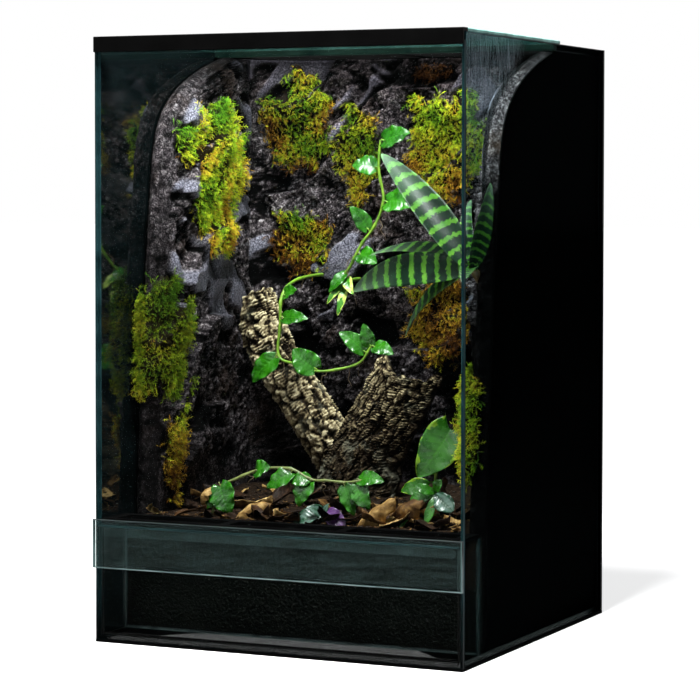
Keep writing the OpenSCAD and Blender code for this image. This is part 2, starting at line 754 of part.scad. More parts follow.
module on_back(x, z) translate([x, back_face(x, z), z]) rotate([90, 0, 0]) children();
module on_left_wing(y, z) translate([-wing_x, y, z]) rotate([90, 0, 90]) children();
module on_right_wing(y, z) translate([wing_x, y, z]) rotate([90, 0, -90]) children();

// Moss is trimmed to the rock and soil it grows on and kept off the side panes
module trimmed() one_mesh() difference() {
  intersection() {
    union() children();
    translate([-liner_x, partition_rear - 40, 0]) cube([2 * liner_x, liner_rear - partition_rear + 30, liner_top]);
  }
  seats();
}

module moss_upper_left() color(moss_green) in_place() trimmed()
  on_left_wing(212, 540) hummock(146, 215, 26, 12, 20, 0.32);

module moss_top_centre() color(moss_gold) in_place() trimmed()
  on_back(-150, 600) hummock(80, 132, 16, 30, 75, 0.05);

module moss_upper_centre() color(moss_green) in_place() trimmed()
  on_back(-74, 556) hummock(54, 130, 15, 24, 130, 0.2);

module moss_centre_low() color(moss_gold) in_place() trimmed()
  on_back(-145, 446) hummock(72, 84, 14, 30, 205, 0.1);

module moss_top_right() color(moss_gold) in_place() trimmed()
  on_back(43, 566) hummock(106, 132, 16, 26, 260, 0);

module moss_small_top() color([0.45, 0.22, 0.1]) in_place() trimmed()
  on_back(22, 655) hummock(48, 20, 8, 26, 310, 0);

module moss_mid_right() color(moss_gold) in_place() trimmed()
  on_back(36, 352) hummock(92, 104, 16, 26, 15, 0);

module moss_lower_left() color(moss_green) in_place() trimmed()
  on_left_wing(112, 340) hummock(112, 136, 32, 16, 95, 0.05);

module moss_left_tail() color(moss_gold) in_place() trimmed()
  on_left_wing(122, 205) hummock(44, 118, 15, 12, 165, 0.1);

module moss_lower_right() color(moss_green) in_place() trimmed()
  on_right_wing(92, 255) hummock(70, 132, 26, 12, 235, 0);

// ---- drain ----

module turned() translate([0, body_d, drain_z]) rotate([-90, 0, 0]) rotate_extrude($fn = 64) children();

module drain_fitting() color(black) in_place() turned()
  difference() {
    union() {
      translate([drain_bore_r, -glass_t - drain_reach])
        square([drain_wall, glass_t + drain_reach + washer_t]);
      translate([drain_bore_r, washer_t]) square([flange_r - drain_bore_r - 1, flange_t]);
      translate([drain_bore_r, washer_t]) square([flange_r - drain_bore_r, flange_t - 1]);
      translate([flange_r - 1, washer_t + flange_t - 1]) circle(1, $fn = 24);
    }
    square([drain_bore_r, 1]);
  }

module drain_washer() color([0.1, 0.1, 0.1]) in_place() turned()
  translate([drain_r + 0.1, 0]) square([5, washer_t]);

module drain_nut() color([0.08, 0.08, 0.08]) in_place()
  translate([0, rear_in, drain_z]) rotate([90, 0, 0])
    difference() {
      cylinder(r = nut_r, h = nut_t, $fn = 6);
      translate([0, 0, -1]) cylinder(r = drain_r + 0.1, h = nut_t + 2, $fn = 48);
    }

module drain_bung() color([0.15, 0.15, 0.16]) in_place() turned() {
  plug_r = drain_bore_r - slide_gap;
  out = washer_t + flange_t;
  translate([0, out - 16]) square([plug_r, 16.5]);
  translate([0, out]) square([plug_r + 2, flange_t - 1]);
  translate([0, out]) square([plug_r + 1, flange_t]);
}

base_mat();
bottom_pane();
lower_front_pane();
back_pane();
left_pane();
right_pane();
corner_seals();
front_apron();
apron_bond();
door_pane();
top_rail();
lid_pane();
lid_support_strip();
rear_vent_frame();
rear_vent_screen();
front_vent_frame();
front_vent_screen();
partition_pane();
partition_seals();
background_back();
background_left();
background_right();
drainage_layer();
drainage_sheet();
substrate();
leaf_litter();
cork_left_limb();
cork_right_slab();
striped_bromeliad();
upper_vine();
middle_vine();
ground_vine();
broad_leaf_plant();
silver_leaf_plant();
small_leaf_plant();
moss_upper_left();
moss_top_centre();
moss_upper_centre();
moss_centre_low();
moss_top_right();
moss_small_top();
moss_mid_right();
moss_lower_left();
moss_left_tail();
moss_lower_right();
drain_fitting();
drain_washer();
drain_nut();
drain_bung();
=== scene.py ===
# %% [markdown]
# # A planted glass terrarium, dressed in Blender
# The exact parts (panes, rail, vents, drain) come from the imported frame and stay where
# they are. Everything that grew, was carved or was poured is built here as numpy
# surfaces over them. Lengths are written in millimetres, measured as a maker would:
# x from the middle, y back from the front glass, z up from the shelf.

import math

import bpy
import numpy as np
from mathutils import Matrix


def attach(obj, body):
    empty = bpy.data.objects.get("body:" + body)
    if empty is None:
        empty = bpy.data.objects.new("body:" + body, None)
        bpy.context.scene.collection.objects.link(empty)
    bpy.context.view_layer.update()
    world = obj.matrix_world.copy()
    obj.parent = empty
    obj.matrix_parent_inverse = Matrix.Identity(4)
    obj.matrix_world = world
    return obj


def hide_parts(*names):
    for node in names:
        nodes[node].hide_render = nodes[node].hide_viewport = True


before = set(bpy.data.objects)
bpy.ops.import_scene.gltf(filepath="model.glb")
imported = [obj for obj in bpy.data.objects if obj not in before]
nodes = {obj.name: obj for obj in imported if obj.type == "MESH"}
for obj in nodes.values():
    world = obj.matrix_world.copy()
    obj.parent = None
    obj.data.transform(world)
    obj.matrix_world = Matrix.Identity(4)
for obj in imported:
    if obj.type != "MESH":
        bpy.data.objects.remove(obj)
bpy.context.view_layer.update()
print("nodes:", len(nodes))

# %% Levels and planes of the glass box, in millimetres
MM = 0.001
FRONT_FACE = -221.5  # y of the front glass in the frame
IN_W = 220.0  # inner faces of the side panes
LINER_X = 219.7  # outer faces of the rock wings
WING_X = 197.7  # inner faces of the rock wings
PARTITION_REAR = 62.0
LINER_REAR, LINER_FRONT = 434.7, 394.7
LINER_FOOT, LINER_TOP = 9.3, 672.0


def to_frame(points):
    """Millimetres from the front glass become metres in the shared frame."""
    return (np.asarray(points, float) + (0, FRONT_FACE, 0)) * MM


def add(name, data):
    """An object in the scene that shows the data."""
    made = bpy.data.objects.new(name, data)
    bpy.context.scene.collection.objects.link(made)
    return made


# %% [markdown]
# ## Camera
# The picture was taken from the right and a little above the middle, from about three
# metres off with a long lens. The box's own corners fix the position, and the small
# vertical shift only frames it.

# %% Camera
camera_data = bpy.data.cameras.new("photo_camera")
camera_data.lens = 136.87
camera_data.sensor_width = 36
camera_data.shift_y = -0.0857
camera_data.clip_end = 50
camera = add("photo_camera", camera_data)
camera.location = (1.3037, -2.8192, 0.5141)
camera.rotation_euler = (math.radians(87.81), math.radians(-0.06), math.radians(25.0))
bpy.context.scene.camera = camera
bpy.context.scene.view_settings.view_transform = "Standard"
print("camera at", tuple(camera.location))

# %% [markdown]
# ## Node helpers
# A material is a small graph. `new_finish` opens one, and `put` adds a node to it, sets
# its plain values and links every input that is given as another node's output. Sums
# written with outputs become Math nodes, so a finish reads like a formula.


# %% Helpers for materials
def maths(kind):
    """A function that adds the Math node of this kind for two values."""
    return lambda a, b=0: put("Math", {0: a, 1: b}, operation=kind)


class Output:
    """An output of a node. A sum written with it adds the Math node for it."""

    def __init__(self, node, name=0):
        self.node, self.socket = node, node.outputs[name] if node.outputs else None

    def __getitem__(self, name):
        return Output(self.node, name)

    __add__, __sub__, __mul__ = maths("ADD"), maths("SUBTRACT"), maths("MULTIPLY")
    __pow__, __abs__ = maths("POWER"), maths("ABSOLUTE")


larger = maths("MAXIMUM")  # the larger of two values
graph = {}  # the material or world whose nodes are being written, and its coordinates


def open_graph(owner):
    owner.use_nodes = True
    owner.node_tree.nodes.clear()
    graph["owner"] = owner


def new_finish(name, stretch=(1, 1, 1)):
    """Opens a finish. Its noise is squeezed by stretch along x, y and z."""
    open_graph(bpy.data.materials.new(name))
    graph["where"] = place_of(stretch)


def put(kind, inputs=None, **settings):
    """One node of the kind, with its settings, and its inputs set or linked. It stands
    for its first output, and put(...)[name] is another one."""
    tree = graph["owner"].node_tree
    node = tree.nodes.new("ShaderNode" + kind)
    for key, value in settings.items():
        setattr(node, key, value)
    for key, value in (inputs or {}).items():
        socket = node.inputs[key]
        if isinstance(value, Output):
            tree.links.new(value.socket, socket)
        else:
            socket.default_value = (*value, 1) if socket.type == "RGBA" else value
    return Output(node)


def place_of(stretch=(1, 1, 1)):
    """Object coordinates in metres, times stretch."""
    return put("Mapping", {"Vector": put("TexCoord")["Object"], "Scale": stretch})


def mark(name):
    """The values that a piece keeps at its points under this name."""
    return put("Attribute", attribute_name=name)["Fac"]


def noise(scale, detail=4, roughness=0.55):
    return put("TexNoise", {"Vector": graph["where"], "Scale": scale, "Detail": detail,
                            "Roughness": roughness})


def ramp(value, *stops):
    """Colours at the given places along a value; a plain number stands for a grey."""
    found = put("ValToRGB", {"Fac": value})
    elements = found.node.color_ramp.elements
    while len(elements) < len(stops):
        elements.new(0.5)
    for element, (at, colour) in zip(elements, stops, strict=True):
        element.position = at
        element.color = (*(colour if isinstance(colour, tuple) else (colour,) * 3), 1)
    return found


def between(value, start, end, first=0, last=1):
    """A number that runs from first to last while the value runs from start to end."""
    return put("MapRange", {"Value": value, "From Min": start, "From Max": end,
                            "To Min": first, "To Max": last})


def by_place(axis, *run):
    """The same while the place on an axis, in metres, runs from start to end."""
    return between(put("SeparateXYZ", {"Vector": place_of()})[axis], *run)


def blend(share, a, b, kind="MIX"):
    """Colour a with a share of colour b."""
    return put("Mix", {0: share, 6: a, 7: b}, data_type="RGBA", blend_type=kind)[2]


def dimmed(tone, light):
    return blend(1, tone, light, "MULTIPLY")


def mixed(share, a, b):
    """Shader a with a share of shader b."""
    return put("MixShader", {0: share, 1: a, 2: b})


def bumped(height, strength, distance):
    """A normal from a height. Distance is in metres."""
    return put("Bump", {"Height": height, "Strength": strength, "Distance": distance})


def shown(shader):
    """Ends a finish and hands the material back."""
    put("OutputMaterial", {"Surface": shader})
    return graph["owner"]


def solid(tone, rough, skin=None, shine=0.5):
    """Ends a finish with an opaque surface. Shine is its mirror level."""
    inputs = {"Base Color": tone, "Roughness": rough, "Specular IOR Level": shine}
    return shown(put("BsdfPrincipled", inputs | ({"Normal": skin} if skin else {})))


print("node helpers ready")

# %% [markdown]
# ## Studio
# A pale floor, a white surround for what the camera, metal and glass see, and soft
# lamps. One lamp hangs over the lid, as a terrarium lamp does, and a wide dim one
# stands in front.


# %% World, floor and lamps
def studio_world():
    bpy.context.scene.world = bpy.data.worlds.new("studio")
    open_graph(bpy.context.scene.world)
    path = put("LightPath")
    seen = larger(larger(path["Is Camera Ray"], path["Is Glossy Ray"]),
                  path["Is Transmission Ray"])
    soft = put("Background", {"Color": (0.92, 0.96, 1), "Strength": 0.12})
    white = put("Background", {"Color": (1, 1, 1), "Strength": 1})
    put("OutputWorld", {"Surface": mixed(seen, soft, white)})


def studio_floor(side=30):
    """A square of 2 x side metres that the camera sees a little brighter far off."""
    mesh = bpy.data.meshes.new("studio_floor")
    mesh.from_pydata([(-side, -side, 0), (side, -side, 0), (side, side, 0), (-side, side, 0)],
                     [], [(0, 1, 2, 3)])
    floor = add("studio_floor", mesh)
    new_finish("pale_floor")
    matte = put("BsdfDiffuse", {"Color": ramp(noise(3, 2), (0.3, 0.86), (0.7, 0.88))})
    reach = put("VectorMath", {0: place_of()}, operation="LENGTH")["Value"]
    lift = put("LightPath")["Is Camera Ray"] * between(reach, 0.6, 5, 0.74, 1)
    glow = put("Emission", {"Color": (1, 1, 1), "Strength": lift})
    mesh.materials.append(shown(put("AddShader", {0: matte, 1: glow})))


def soft_lamp(name, place, target, size, power):
    """A square white lamp at a place, facing a target, both in metres."""
    data = bpy.data.lights.new(name, "AREA")
    data.size = size
    data.energy = power
    lamp = add(name, data)
    lamp.location = place
    away = lamp.location - type(lamp.location)(target)
    lamp.rotation_euler = away.to_track_quat("Z", "Y").to_euler()


studio_world()
studio_floor()
soft_lamp("over_the_lid", (0.08, -0.38, 1.42), (0, 0.03, 0.3), 0.42, 54)
soft_lamp("front_left", (-1.0, -2.6, 1.9), (0, 0, 0.35), 1.4, 15)

# %% [markdown]
# ## From arrays to pieces
# Every grown or carved piece is a surface worked out with numpy. Triangles are kept as
# whole arrays of row numbers, so separate shells join by stacking them.


# %% Grids, shells and pieces
def packed(*parts):
    """Arrays side by side: x, y and z of points, or the corners of triangles."""
    return np.stack(np.broadcast_arrays(*parts), -1)


def flat(points):
    return points.reshape(-1, 3)


def grid_tiles(rows, columns, closed=False):
    """Triangles of a grid of rows x columns points. They face the way that the run
    along a row, crossed with the run from row to row, points."""
    wide = columns if closed else columns - 1
    i, j = np.meshgrid(np.arange(rows - 1), np.arange(wide), indexing="ij")
    a, b = i * columns + j, i * columns + (j + 1) % columns
    c, d = a + columns, b + columns
    return flat(np.stack([packed(a, b, d), packed(a, d, c)], 2))


def rim_rows(rows, columns):
    """Row numbers of a grid's outline, once round."""
    grid = np.arange(rows * columns).reshape(rows, columns)
    return np.concatenate([grid[0, :-1], grid[:-1, -1], grid[-1, :0:-1], grid[:0:-1, 0]])


def wall_tiles(run, other):
    """Triangles between two closed runs of row numbers, point by point."""
    after = np.roll(run, -1)
    return np.concatenate([packed(after, run, other), packed(after, other, np.roll(other, -1))])


def fan_tiles(run, pole):
    """Triangles from a closed run to a pole."""
    return packed(np.roll(run, -1), run, pole)


def backed_shell(front, drop):
    """A closed slab: the front grid, its outline moved by drop, and a flat back that
    fans out from the middle of that outline."""
    rim = rim_rows(*front.shape[:2])
    behind = drop(flat(front)[rim])
    points = np.concatenate([flat(front), behind, behind.mean(0)[None]])
    pole = len(points) - 1
    outline = np.arange(pole - len(rim), pole)
    return points, np.concatenate([grid_tiles(*front.shape[:2]), wall_tiles(rim, outline),
                                   fan_tiles(outline, pole)])


def tube_shell(rings):
    """A closed skin over rings of points (stations x around x 3), with a pole at the
    middle of each end ring. The rings turn anticlockwise about the way they run."""
    stations, around = rings.shape[:2]
    points = np.concatenate([flat(rings), rings[0].mean(0)[None], rings[-1].mean(0)[None]])
    foot, pole = np.arange(around), stations * around
    head = fan_tiles(pole - around + foot, pole + 1)[:, [1, 0, 2]]
    return points, np.concatenate([grid_tiles(stations, around, True), fan_tiles(foot, pole),
                                   head])


def sheet_shell(front, back):
    """A closed sheet: the front grid, the back grid turned over, and a wall that joins
    the two rims point by point."""
    rim = rim_rows(*front.shape[:2])
    tiles = grid_tiles(*front.shape[:2])
    behind = front[..., 0].size
    return (np.concatenate([flat(front), flat(back)]),
            np.concatenate([tiles, tiles[:, ::-1] + behind, wall_tiles(rim, rim + behind)]))


def face_tiles(grid):
    """How many triangles a grid has."""
    return 2 * (grid.shape[0] - 1) * (grid.shape[1] - 1)


def copied(points, tiles):
    """A shell from copies x points of one shape, and the tiles of one copy."""
    starts = np.arange(len(points)) * points.shape[1]
    return flat(points), flat(tiles[None] + starts[:, None, None])


def joined(shells):
    """One set of points and triangles from several."""
    counts = np.cumsum([0] + [len(points) for points, _ in shells[:-1]])
    return (np.concatenate([points for points, _ in shells]),
            np.concatenate([tiles + n for (_, tiles), n in zip(shells, counts, strict=True)]))


def piece(name, node, shell, finishes, body="enclosure", smooth=True, finish_rows=None,
          marks=None):
    """A mesh object from points in millimetres and triangles, which stands for an exact
    part and rides on a body. Marks are values kept at each point for the finish."""
    points, tiles = shell
    mesh = bpy.data.meshes.new(name)
    mesh.vertices.add(len(points))
    mesh.vertices.foreach_set("co", to_frame(points).astype(np.float32).ravel())
    mesh.loops.add(tiles.size)
    mesh.loops.foreach_set("vertex_index", tiles.astype(np.int32).ravel())
    mesh.polygons.add(len(tiles))
    mesh.polygons.foreach_set("loop_start", np.arange(len(tiles), dtype=np.int32) * 3)
    for finish in finishes if isinstance(finishes, list) else [finishes]:
        mesh.materials.append(finish)
    if finish_rows is not None:
        mesh.polygons.foreach_set("material_index", finish_rows.astype(np.int32))
    mesh.update(calc_edges=True)
    mesh.polygons.foreach_set("use_smooth", np.broadcast_to(smooth, len(tiles)).copy())
    for mark_name, values in (marks or {}).items():
        layer = mesh.attributes.new(mark_name, "FLOAT", "POINT")
        layer.data.foreach_set("value", np.asarray(values, np.float32))
    made = add(name, mesh)
    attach(made, body)
    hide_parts(node)
    print(f"{name}: {len(tiles)} triangles")


# %% [markdown]
# ## Glass
# A pane is clear float glass with ground edges: you look through the faces and along
# the green body of the glass at the edges. The faces let light straight through and
# mirror only a little; the edges are a deep sea green. Faint wipe marks break up the
# shine. The back and left panes carry a black film, so they act as dark mirrors.


# %% Glass finishes
def window_glass(name, tint, mirror, veil, veil_colour, streaks=(2, 2, 14), more=None):
    """Clear glass: see-through faces, a weak mirror that grows towards the rim of
    sight, and a thin uneven veil of dried water. More adds haze at chosen places."""
    new_finish(name, streaks)
    wiped = noise(6, 5, 0.6)
    clear = put("BsdfTransparent", {"Color": tint})
    shine = put("BsdfGlossy", {"Color": (0.9, 0.97, 1),
                               "Roughness": ramp(wiped, (0.35, 0.02), (0.75, 0.12))})
    edge_on = put("LayerWeight", {"Blend": 0.35})["Fresnel"]
    share = wiped**2.2 * veil
    if more:
        share = more(share, noise(26, 5, 0.7))
    return shown(mixed(share, mixed(edge_on * mirror, clear, shine),
                       put("BsdfDiffuse", {"Color": veil_colour})))


def green_edge(name, colour, deep, shine=0.03, fades=()):
    """The ground rim of a pane: satin, darker and lighter along its length. The colour sets
    how bright the rim is painted, and fades paint shade along an axis, where the body of
    the glass carries less lamp light."""
    new_finish(name)
    tone = ramp(noise(35, 3), (0.3, deep), (0.75, colour))
    for fade in fades:
        tone = dimmed(tone, by_place(*fade))
    return solid(tone, 0.3, bumped(noise(900, 3), 0.2, 0.0002), shine)


def film_backed(name, mirror_level, low, high):
    """Glass over black film: near black with a clean, deep shine."""
    new_finish(name, (1, 1, 3))
    wiped = noise(9, 5, 0.6)
    return solid(ramp(wiped, (0.35, low), (0.75, high)), ramp(wiped, (0.4, 0.03), (0.8, 0.1)),
                 shine=mirror_level)


def dark_ends(share, streaks):
    """Wiping marks along the apron. Past the door's sides it shows only its own dark rim."""
    share = share * between(streaks, 0.35, 0.65, 0.35, 1.65)
    past_door = maths("GREATER_THAN")(abs(by_place("X", -1, 1, -1, 1)), 0.2247)
    return larger(share, past_door)


def misted(share, streaks):
    """Condensation high up on the pane, in wiped vertical streaks, as far back as the
    rock's edge."""
    behind = by_place("Y", -0.3, 0.1, -0.3, 0.1) - by_place("Z", 0.58, 0.67, 0, 0.09)
    mist = (by_place("Z", 0.5, 0.66) * between(behind, -0.16, -0.13, 1, 0)
            * between(streaks, 0.4, 0.68))
    return share + mist * 0.34


clear_glass = window_glass("clear_glass", (0.99, 0.997, 0.995), 0.0015, 0.002, (0.5, 0.62, 0.62))
side_glass = window_glass("side_glass", (0.7, 0.77, 0.77), 0.001, 0.001, (0.36, 0.44, 0.5),
                          (14, 9, 1.2), misted)
lid_glass = window_glass("lid_glass", (0.95, 0.985, 0.975), 1.3, 0.02, (0.2, 0.26, 0.25))
apron_clear = window_glass("clear_apron", (0.9, 0.96, 0.95), 0.02, 0.22, (0.1, 0.155, 0.15),
                           (3, 3, 30), dark_ends)
# one green glass rim at painted brightnesses: painted shade on the door, side, floor and partition
# rims towards the rear and the bottom, a painted highlight on the lid's rim and the apron's lower
# rim, and painted shade on the lid rest strip's rim
glass_edge = green_edge("glass_edge", (0.014, 0.042, 0.046), (0.003, 0.012, 0.014), 0.02,
                        [("Y", -0.2, -0.1, 1, 0.06), ("Z", 0.02, 0.1, 0.05, 1)])
lid_edge_painted_highlight = green_edge("lid_glass_edge_painted_highlight", (0.3, 0.66, 0.6), (0.01, 0.12, 0.1), 0.15)
apron_edge_painted_highlight = green_edge("apron_glass_edge_painted_highlight", (0.22, 0.28, 0.28), (0.06, 0.09, 0.09), 0.06,
                        [("Z", 0.1, 0.13, 1, 0.16)])
strip_edge = green_edge("strip_glass_edge", (0.007, 0.016, 0.012), (0.001, 0.004, 0.003))
film_glass = film_backed("film_backed_glass", 1.0, (0.001, 0.002, 0.002), (0.004, 0.007, 0.008))
side_film = film_backed("film_backed_side", 0.03, (0.0015, 0.002, 0.002), (0.004, 0.006, 0.006))
print("glass finishes ready")

# %% [markdown]
# A ground pane is one small profile, the wall's thickness with its two corners taken
# off, carried round the pane's outline. The two big faces close it.


# %% Ground panes
def ground_pane(low, high, arris=0.7):
    """Four outlines of a box, stepping through its thinnest side: the outer two are
    inset by the arris, the inner two are full size and sit an arris deep."""
    low, high = np.array(low, float), np.array(high, float)
    thin = int(np.argmin(high - low))
    u, v = [(1, 2), (2, 0), (0, 1)][thin]
    thick = high[thin] - low[thin]
    rings = np.zeros((4, 4, 3))
    for ring, inset, depth in zip(rings, (arris, 0, 0, arris), (0, arris, thick - arris, thick),
                                  strict=True):
        ring[:, thin] = low[thin] + depth
        ring[:, u] = np.where([0, 1, 1, 0], high[u] - inset, low[u] + inset)
        ring[:, v] = np.where([0, 0, 1, 1], high[v] - inset, low[v] + inset)
    return tube_shell(rings)


FACE_TILES = 8  # the two big faces, four tiles each, come last
PANES = [
    # name, exact part, lowest corner, highest corner, face, edge, slot, body
    ("front_door_glass", "door_pane", (-225, 0, 132), (225, 5, 670.5), clear_glass, glass_edge,
     "clear_glass", "door"),
    ("lower_front_glass", "lower_front_pane", (-225, 0, 3), (225, 5, 132), clear_glass,
     glass_edge),
    ("right_side_glass", "right_pane", (220, 5, 3), (225, 435, 680), side_glass, glass_edge),
    ("left_side_glass", "left_pane", (-225, 5, 3), (-220, 435, 680), film_glass, glass_edge,
     "glass_with_black_back"),
    ("floor_glass", "bottom_pane", (-220, 5, 3), (220, 435, 9), clear_glass, glass_edge),
    ("partition_glass", "partition_pane", (-219.7, 57, 9), (219.7, 62, 136), clear_glass,
     glass_edge),
    ("lid_glass_pane", "lid_pane", (-224, 10.3, 680), (224, 290, 684), lid_glass, lid_edge_painted_highlight,
     "clear_glass", "lid"),
    ("lid_rest_strip", "lid_support_strip", (-219.7, 280, 673), (219.7, 290, 680), clear_glass,
     strip_edge),
    ("apron_strip", "front_apron", (-226.3, -5, 85), (226.3, -1, 140), apron_clear, apron_edge_painted_highlight,
     "clear_apron"),
]
for name, node, low, high, face, edge, *rest in PANES:
    slot, body = rest + ["clear_glass", "enclosure"][len(rest):]
    shell = ground_pane(low, high)
    on_edge = np.arange(len(shell[1])) < len(shell[1]) - FACE_TILES
    piece(name, node, shell, [face, edge], body, False, on_edge)

# %% [markdown]
# ## Black fittings
# The top rail is a dark powder-coated channel, the fillets are cured black silicone and
# the base sits on a foam mat. Near-black surfaces live on their roughness, so each gets
# its own grain and only a low shine.


# %% Black finishes
def dark_finish(name, low, high, roughness, grain_scale, grain, shine):
    """A dark solid: its tone wanders from low to high and its skin has a fine grain."""
    new_finish(name)
    rough = ramp(noise(grain_scale / 6, 3), (0.3, roughness - 0.08), (0.7, roughness + 0.08))
    return solid(ramp(noise(22, 5), (0.3, low), (0.75, high)), rough,
                 bumped(noise(grain_scale, 3), grain, 0.0003), shine)


def dress(finish, *exact_parts):
    """Exact parts keep their shape and take a finish."""
    for node in exact_parts:
        nodes[node].data.materials.clear()
        nodes[node].data.materials.append(finish)


dress(dark_finish("black_profile", 0.0008, 0.002, 0.45, 1600, 0.25, 0.015), "top_rail")
dress(dark_finish("black_silicone", 0.0015, 0.004, 0.4, 260, 0.3, 0.03), "corner_seals")
dress(dark_finish("foam_mat", 0.001, 0.003, 0.85, 700, 0.6, 0.01), "base_mat")
dress(dark_finish("vent_plastic", 0.0012, 0.003, 0.5, 900, 0.3, 0.0), "rear_vent_frame",
      "front_vent_frame")
dress(dark_finish("drain_plastic", 0.012, 0.022, 0.45, 700, 0.3, 0.3), "drain_fitting",
      "drain_nut")
dress(dark_finish("drain_rubber", 0.01, 0.02, 0.7, 500, 0.4, 0.2), "drain_bung", "drain_washer")
dress(window_glass("clear_silicone", (0.8, 0.88, 0.86), 0.06, 0.5, (0.1, 0.14, 0.14), (8, 8, 8)),
      "apron_bond", "partition_seals")
dress(side_film, "back_pane")
print("dressed the exact black parts")

# %% [markdown]
# ## Noise in arrays
# Stone, bark and moss all need irregularity that is the same on every run. A small hash
# turns whole-number grid cells into fixed random values. Smooth blending between them
# gives lumps, layers of lumps give rubble, and the distance to scattered points gives
# plates with cracks between them.


# %% Fixed noise
def clamp01(t):
    return np.clip(t, 0, 1)


def smooth(t):
    """A soft step: 0 below 0, 1 above 1."""
    t = clamp01(t)
    return t * t * (3 - 2 * t)


def scatter_value(ix, iy, seed):
    """A fixed value from 0 to 1 for each whole-number cell, from mixed large primes."""
    h = (ix.astype(np.int64) * 374761393 + iy.astype(np.int64) * 668265263 + seed * 974634777)
    h = h & 0xFFFFFFFF
    h = ((h ^ (h >> 13)) * 1274126177) & 0xFFFFFFFF
    return ((h ^ (h >> 16)) & 0xFFFF) / 65535


def lumps(x, y, seed=0):
    """Values at grid corners blended with smooth steps, from -1 to 1."""
    ix, iy = np.floor(x), np.floor(y)
    u, v = smooth(x - ix), smooth(y - iy)
    low, high = (scatter_value(ix, row, seed) * (1 - u) + scatter_value(ix + 1, row, seed) * u
                 for row in (iy, iy + 1))
    return 2 * (low * (1 - v) + high * v) - 1


def rubble(x, y, layers_of=4, seed=0, fade=0.5):
    """Lumps on lumps: each layer twice as fine and weaker by fade."""
    total = sum(lumps(x * 2**k + 17.3 * k, y * 2**k - 9.1 * k, seed + k) * fade**k
                for k in range(layers_of))
    return total / sum(fade**k for k in range(layers_of))


def plates(x, y, seed=0):
    """Distance to the border between the two nearest scattered points, and the nearest
    point's own random value."""
    ix, iy = np.floor(x), np.floor(y)
    near, second = np.full(x.shape, 9.0), np.full(x.shape, 9.0)
    own = np.zeros(x.shape)
    for cell in range(9):
        cx, cy = ix + cell // 3 - 1, iy + cell % 3 - 1
        far = np.hypot(cx + scatter_value(cx, cy, seed) - x,
                       cy + scatter_value(cx, cy, seed + 1) - y)
        closer = far < near
        second = np.where(closer, near, np.minimum(second, far))
        own = np.where(closer, scatter_value(cx, cy, seed + 2), own)
        near = np.where(closer, far, near)
    return second - near, own


print("noise ready:", round(float(rubble(np.array([0.3]), np.array([0.7]))[0]), 4))

# %% [markdown]
# ## Carved rock liner
# The real liner is a carved foam panel, coated with dark grit. Broad layers dip to one
# side, each ending in a step with painted shade under it. Smooth violet-grey slabs lie
# between zones of coarse crumbs, and painted shade darkens the low places between them.
# The broad shape below repeats the exact part's formulas, and finer relief is added on
# top, so plants still sit on the same wall.

# %% Shape of the rock
DIP = math.radians(34)  # how far the layers lean
LAYER = 88  # mm from one step to the next


def sin_deg(a):
    return np.sin(np.radians(a))


def cos_deg(a):
    return np.cos(np.radians(a))


def turned(x, y, angle):
    """Places turned anticlockwise about zero."""
    return x * np.cos(angle) - y * np.sin(angle), x * np.sin(angle) + y * np.cos(angle)


def layers(u, v):
    """Ramps that rise along the dip and end in a step."""
    s = turned(u, v, -DIP)[1] / LAYER + 0.22 * sin_deg(1.9 * u)
    return np.power(s - np.floor(s), 1.6)


def broad_relief(u, v):
    """The layers, 24 mm deep, on a slow swell of 6 mm."""
    swell = 0.5 + 0.5 * sin_deg(2.1 * u + 1.3 * v) * cos_deg(1.7 * v - 0.8 * u)
    return 24 * layers(u, v) + 6 * swell


def above_soil(z):
    """0 up to the soil at 163 mm and 1 from 40 mm above it: the rock's foot is flat."""
    return clamp01((z - 163) / 40)


def cove(x):
    """How far the hollow corner comes forward beside a wing."""
    return 70 * np.power(clamp01((np.abs(x) - WING_X + 70) / 70), 2.4)


def back_face(x, z):
    """Front of the back wall: the flat panel less the cove and the relief, which fades
    beside a wing."""
    beside_wing = clamp01((WING_X - np.abs(x)) / 30)
    return LINER_FRONT - cove(x) - above_soil(z) * beside_wing * broad_relief(x, z)


def wing_edge(z):
    """Front edge of a wing: leans back, then sweeps back near the top."""
    return 79 + 38 * (z / 540) ** 2 + 150 * np.power(clamp01((z - 519) / 153), 3.8)


def wing_relief(y, z):
    """How far a wing's inner face stands out. It fades towards the nose and the rear."""
    fade = clamp01((LINER_FRONT - 110 - y) / 60) * clamp01((y - wing_edge(z)) / 30)
    return above_soil(z) * fade * 0.7 * broad_relief(y + 140, z)


def slab_patch(u, v):
    """How far a place is inside a smooth slab: broad lumps drawn out along the dip."""
    along, across = turned(u, v, -DIP)
    warp = rubble(u / 60, v / 60, 3, 40)
    return smooth((rubble(along / 82 + 0.4 * warp, across / 40 + 0.6 * warp, 3, 9) - 0.2) / 0.1)


HOLLOWS = [
    # x, z, half width, half height of the deep holes in the back wall, also painted near black as
    # shade
    (-52, 340, 40, 24), (-150, 300, 20, 62), (-98, 230, 40, 26), (44, 382, 36, 22),
    (60, 268, 30, 52), (-8, 250, 24, 40)]


def hollow(u, v):
    """1 inside the carved holes, 0 outside, with broken borders."""
    warp = 0.75 * rubble(u / 24, v / 24, 4, 55, 0.6)
    return np.max([smooth((1 - np.hypot((u - x) / w, (v - z) / h) + warp) / 0.35)
                   for x, z, w, h in HOLLOWS], axis=0)


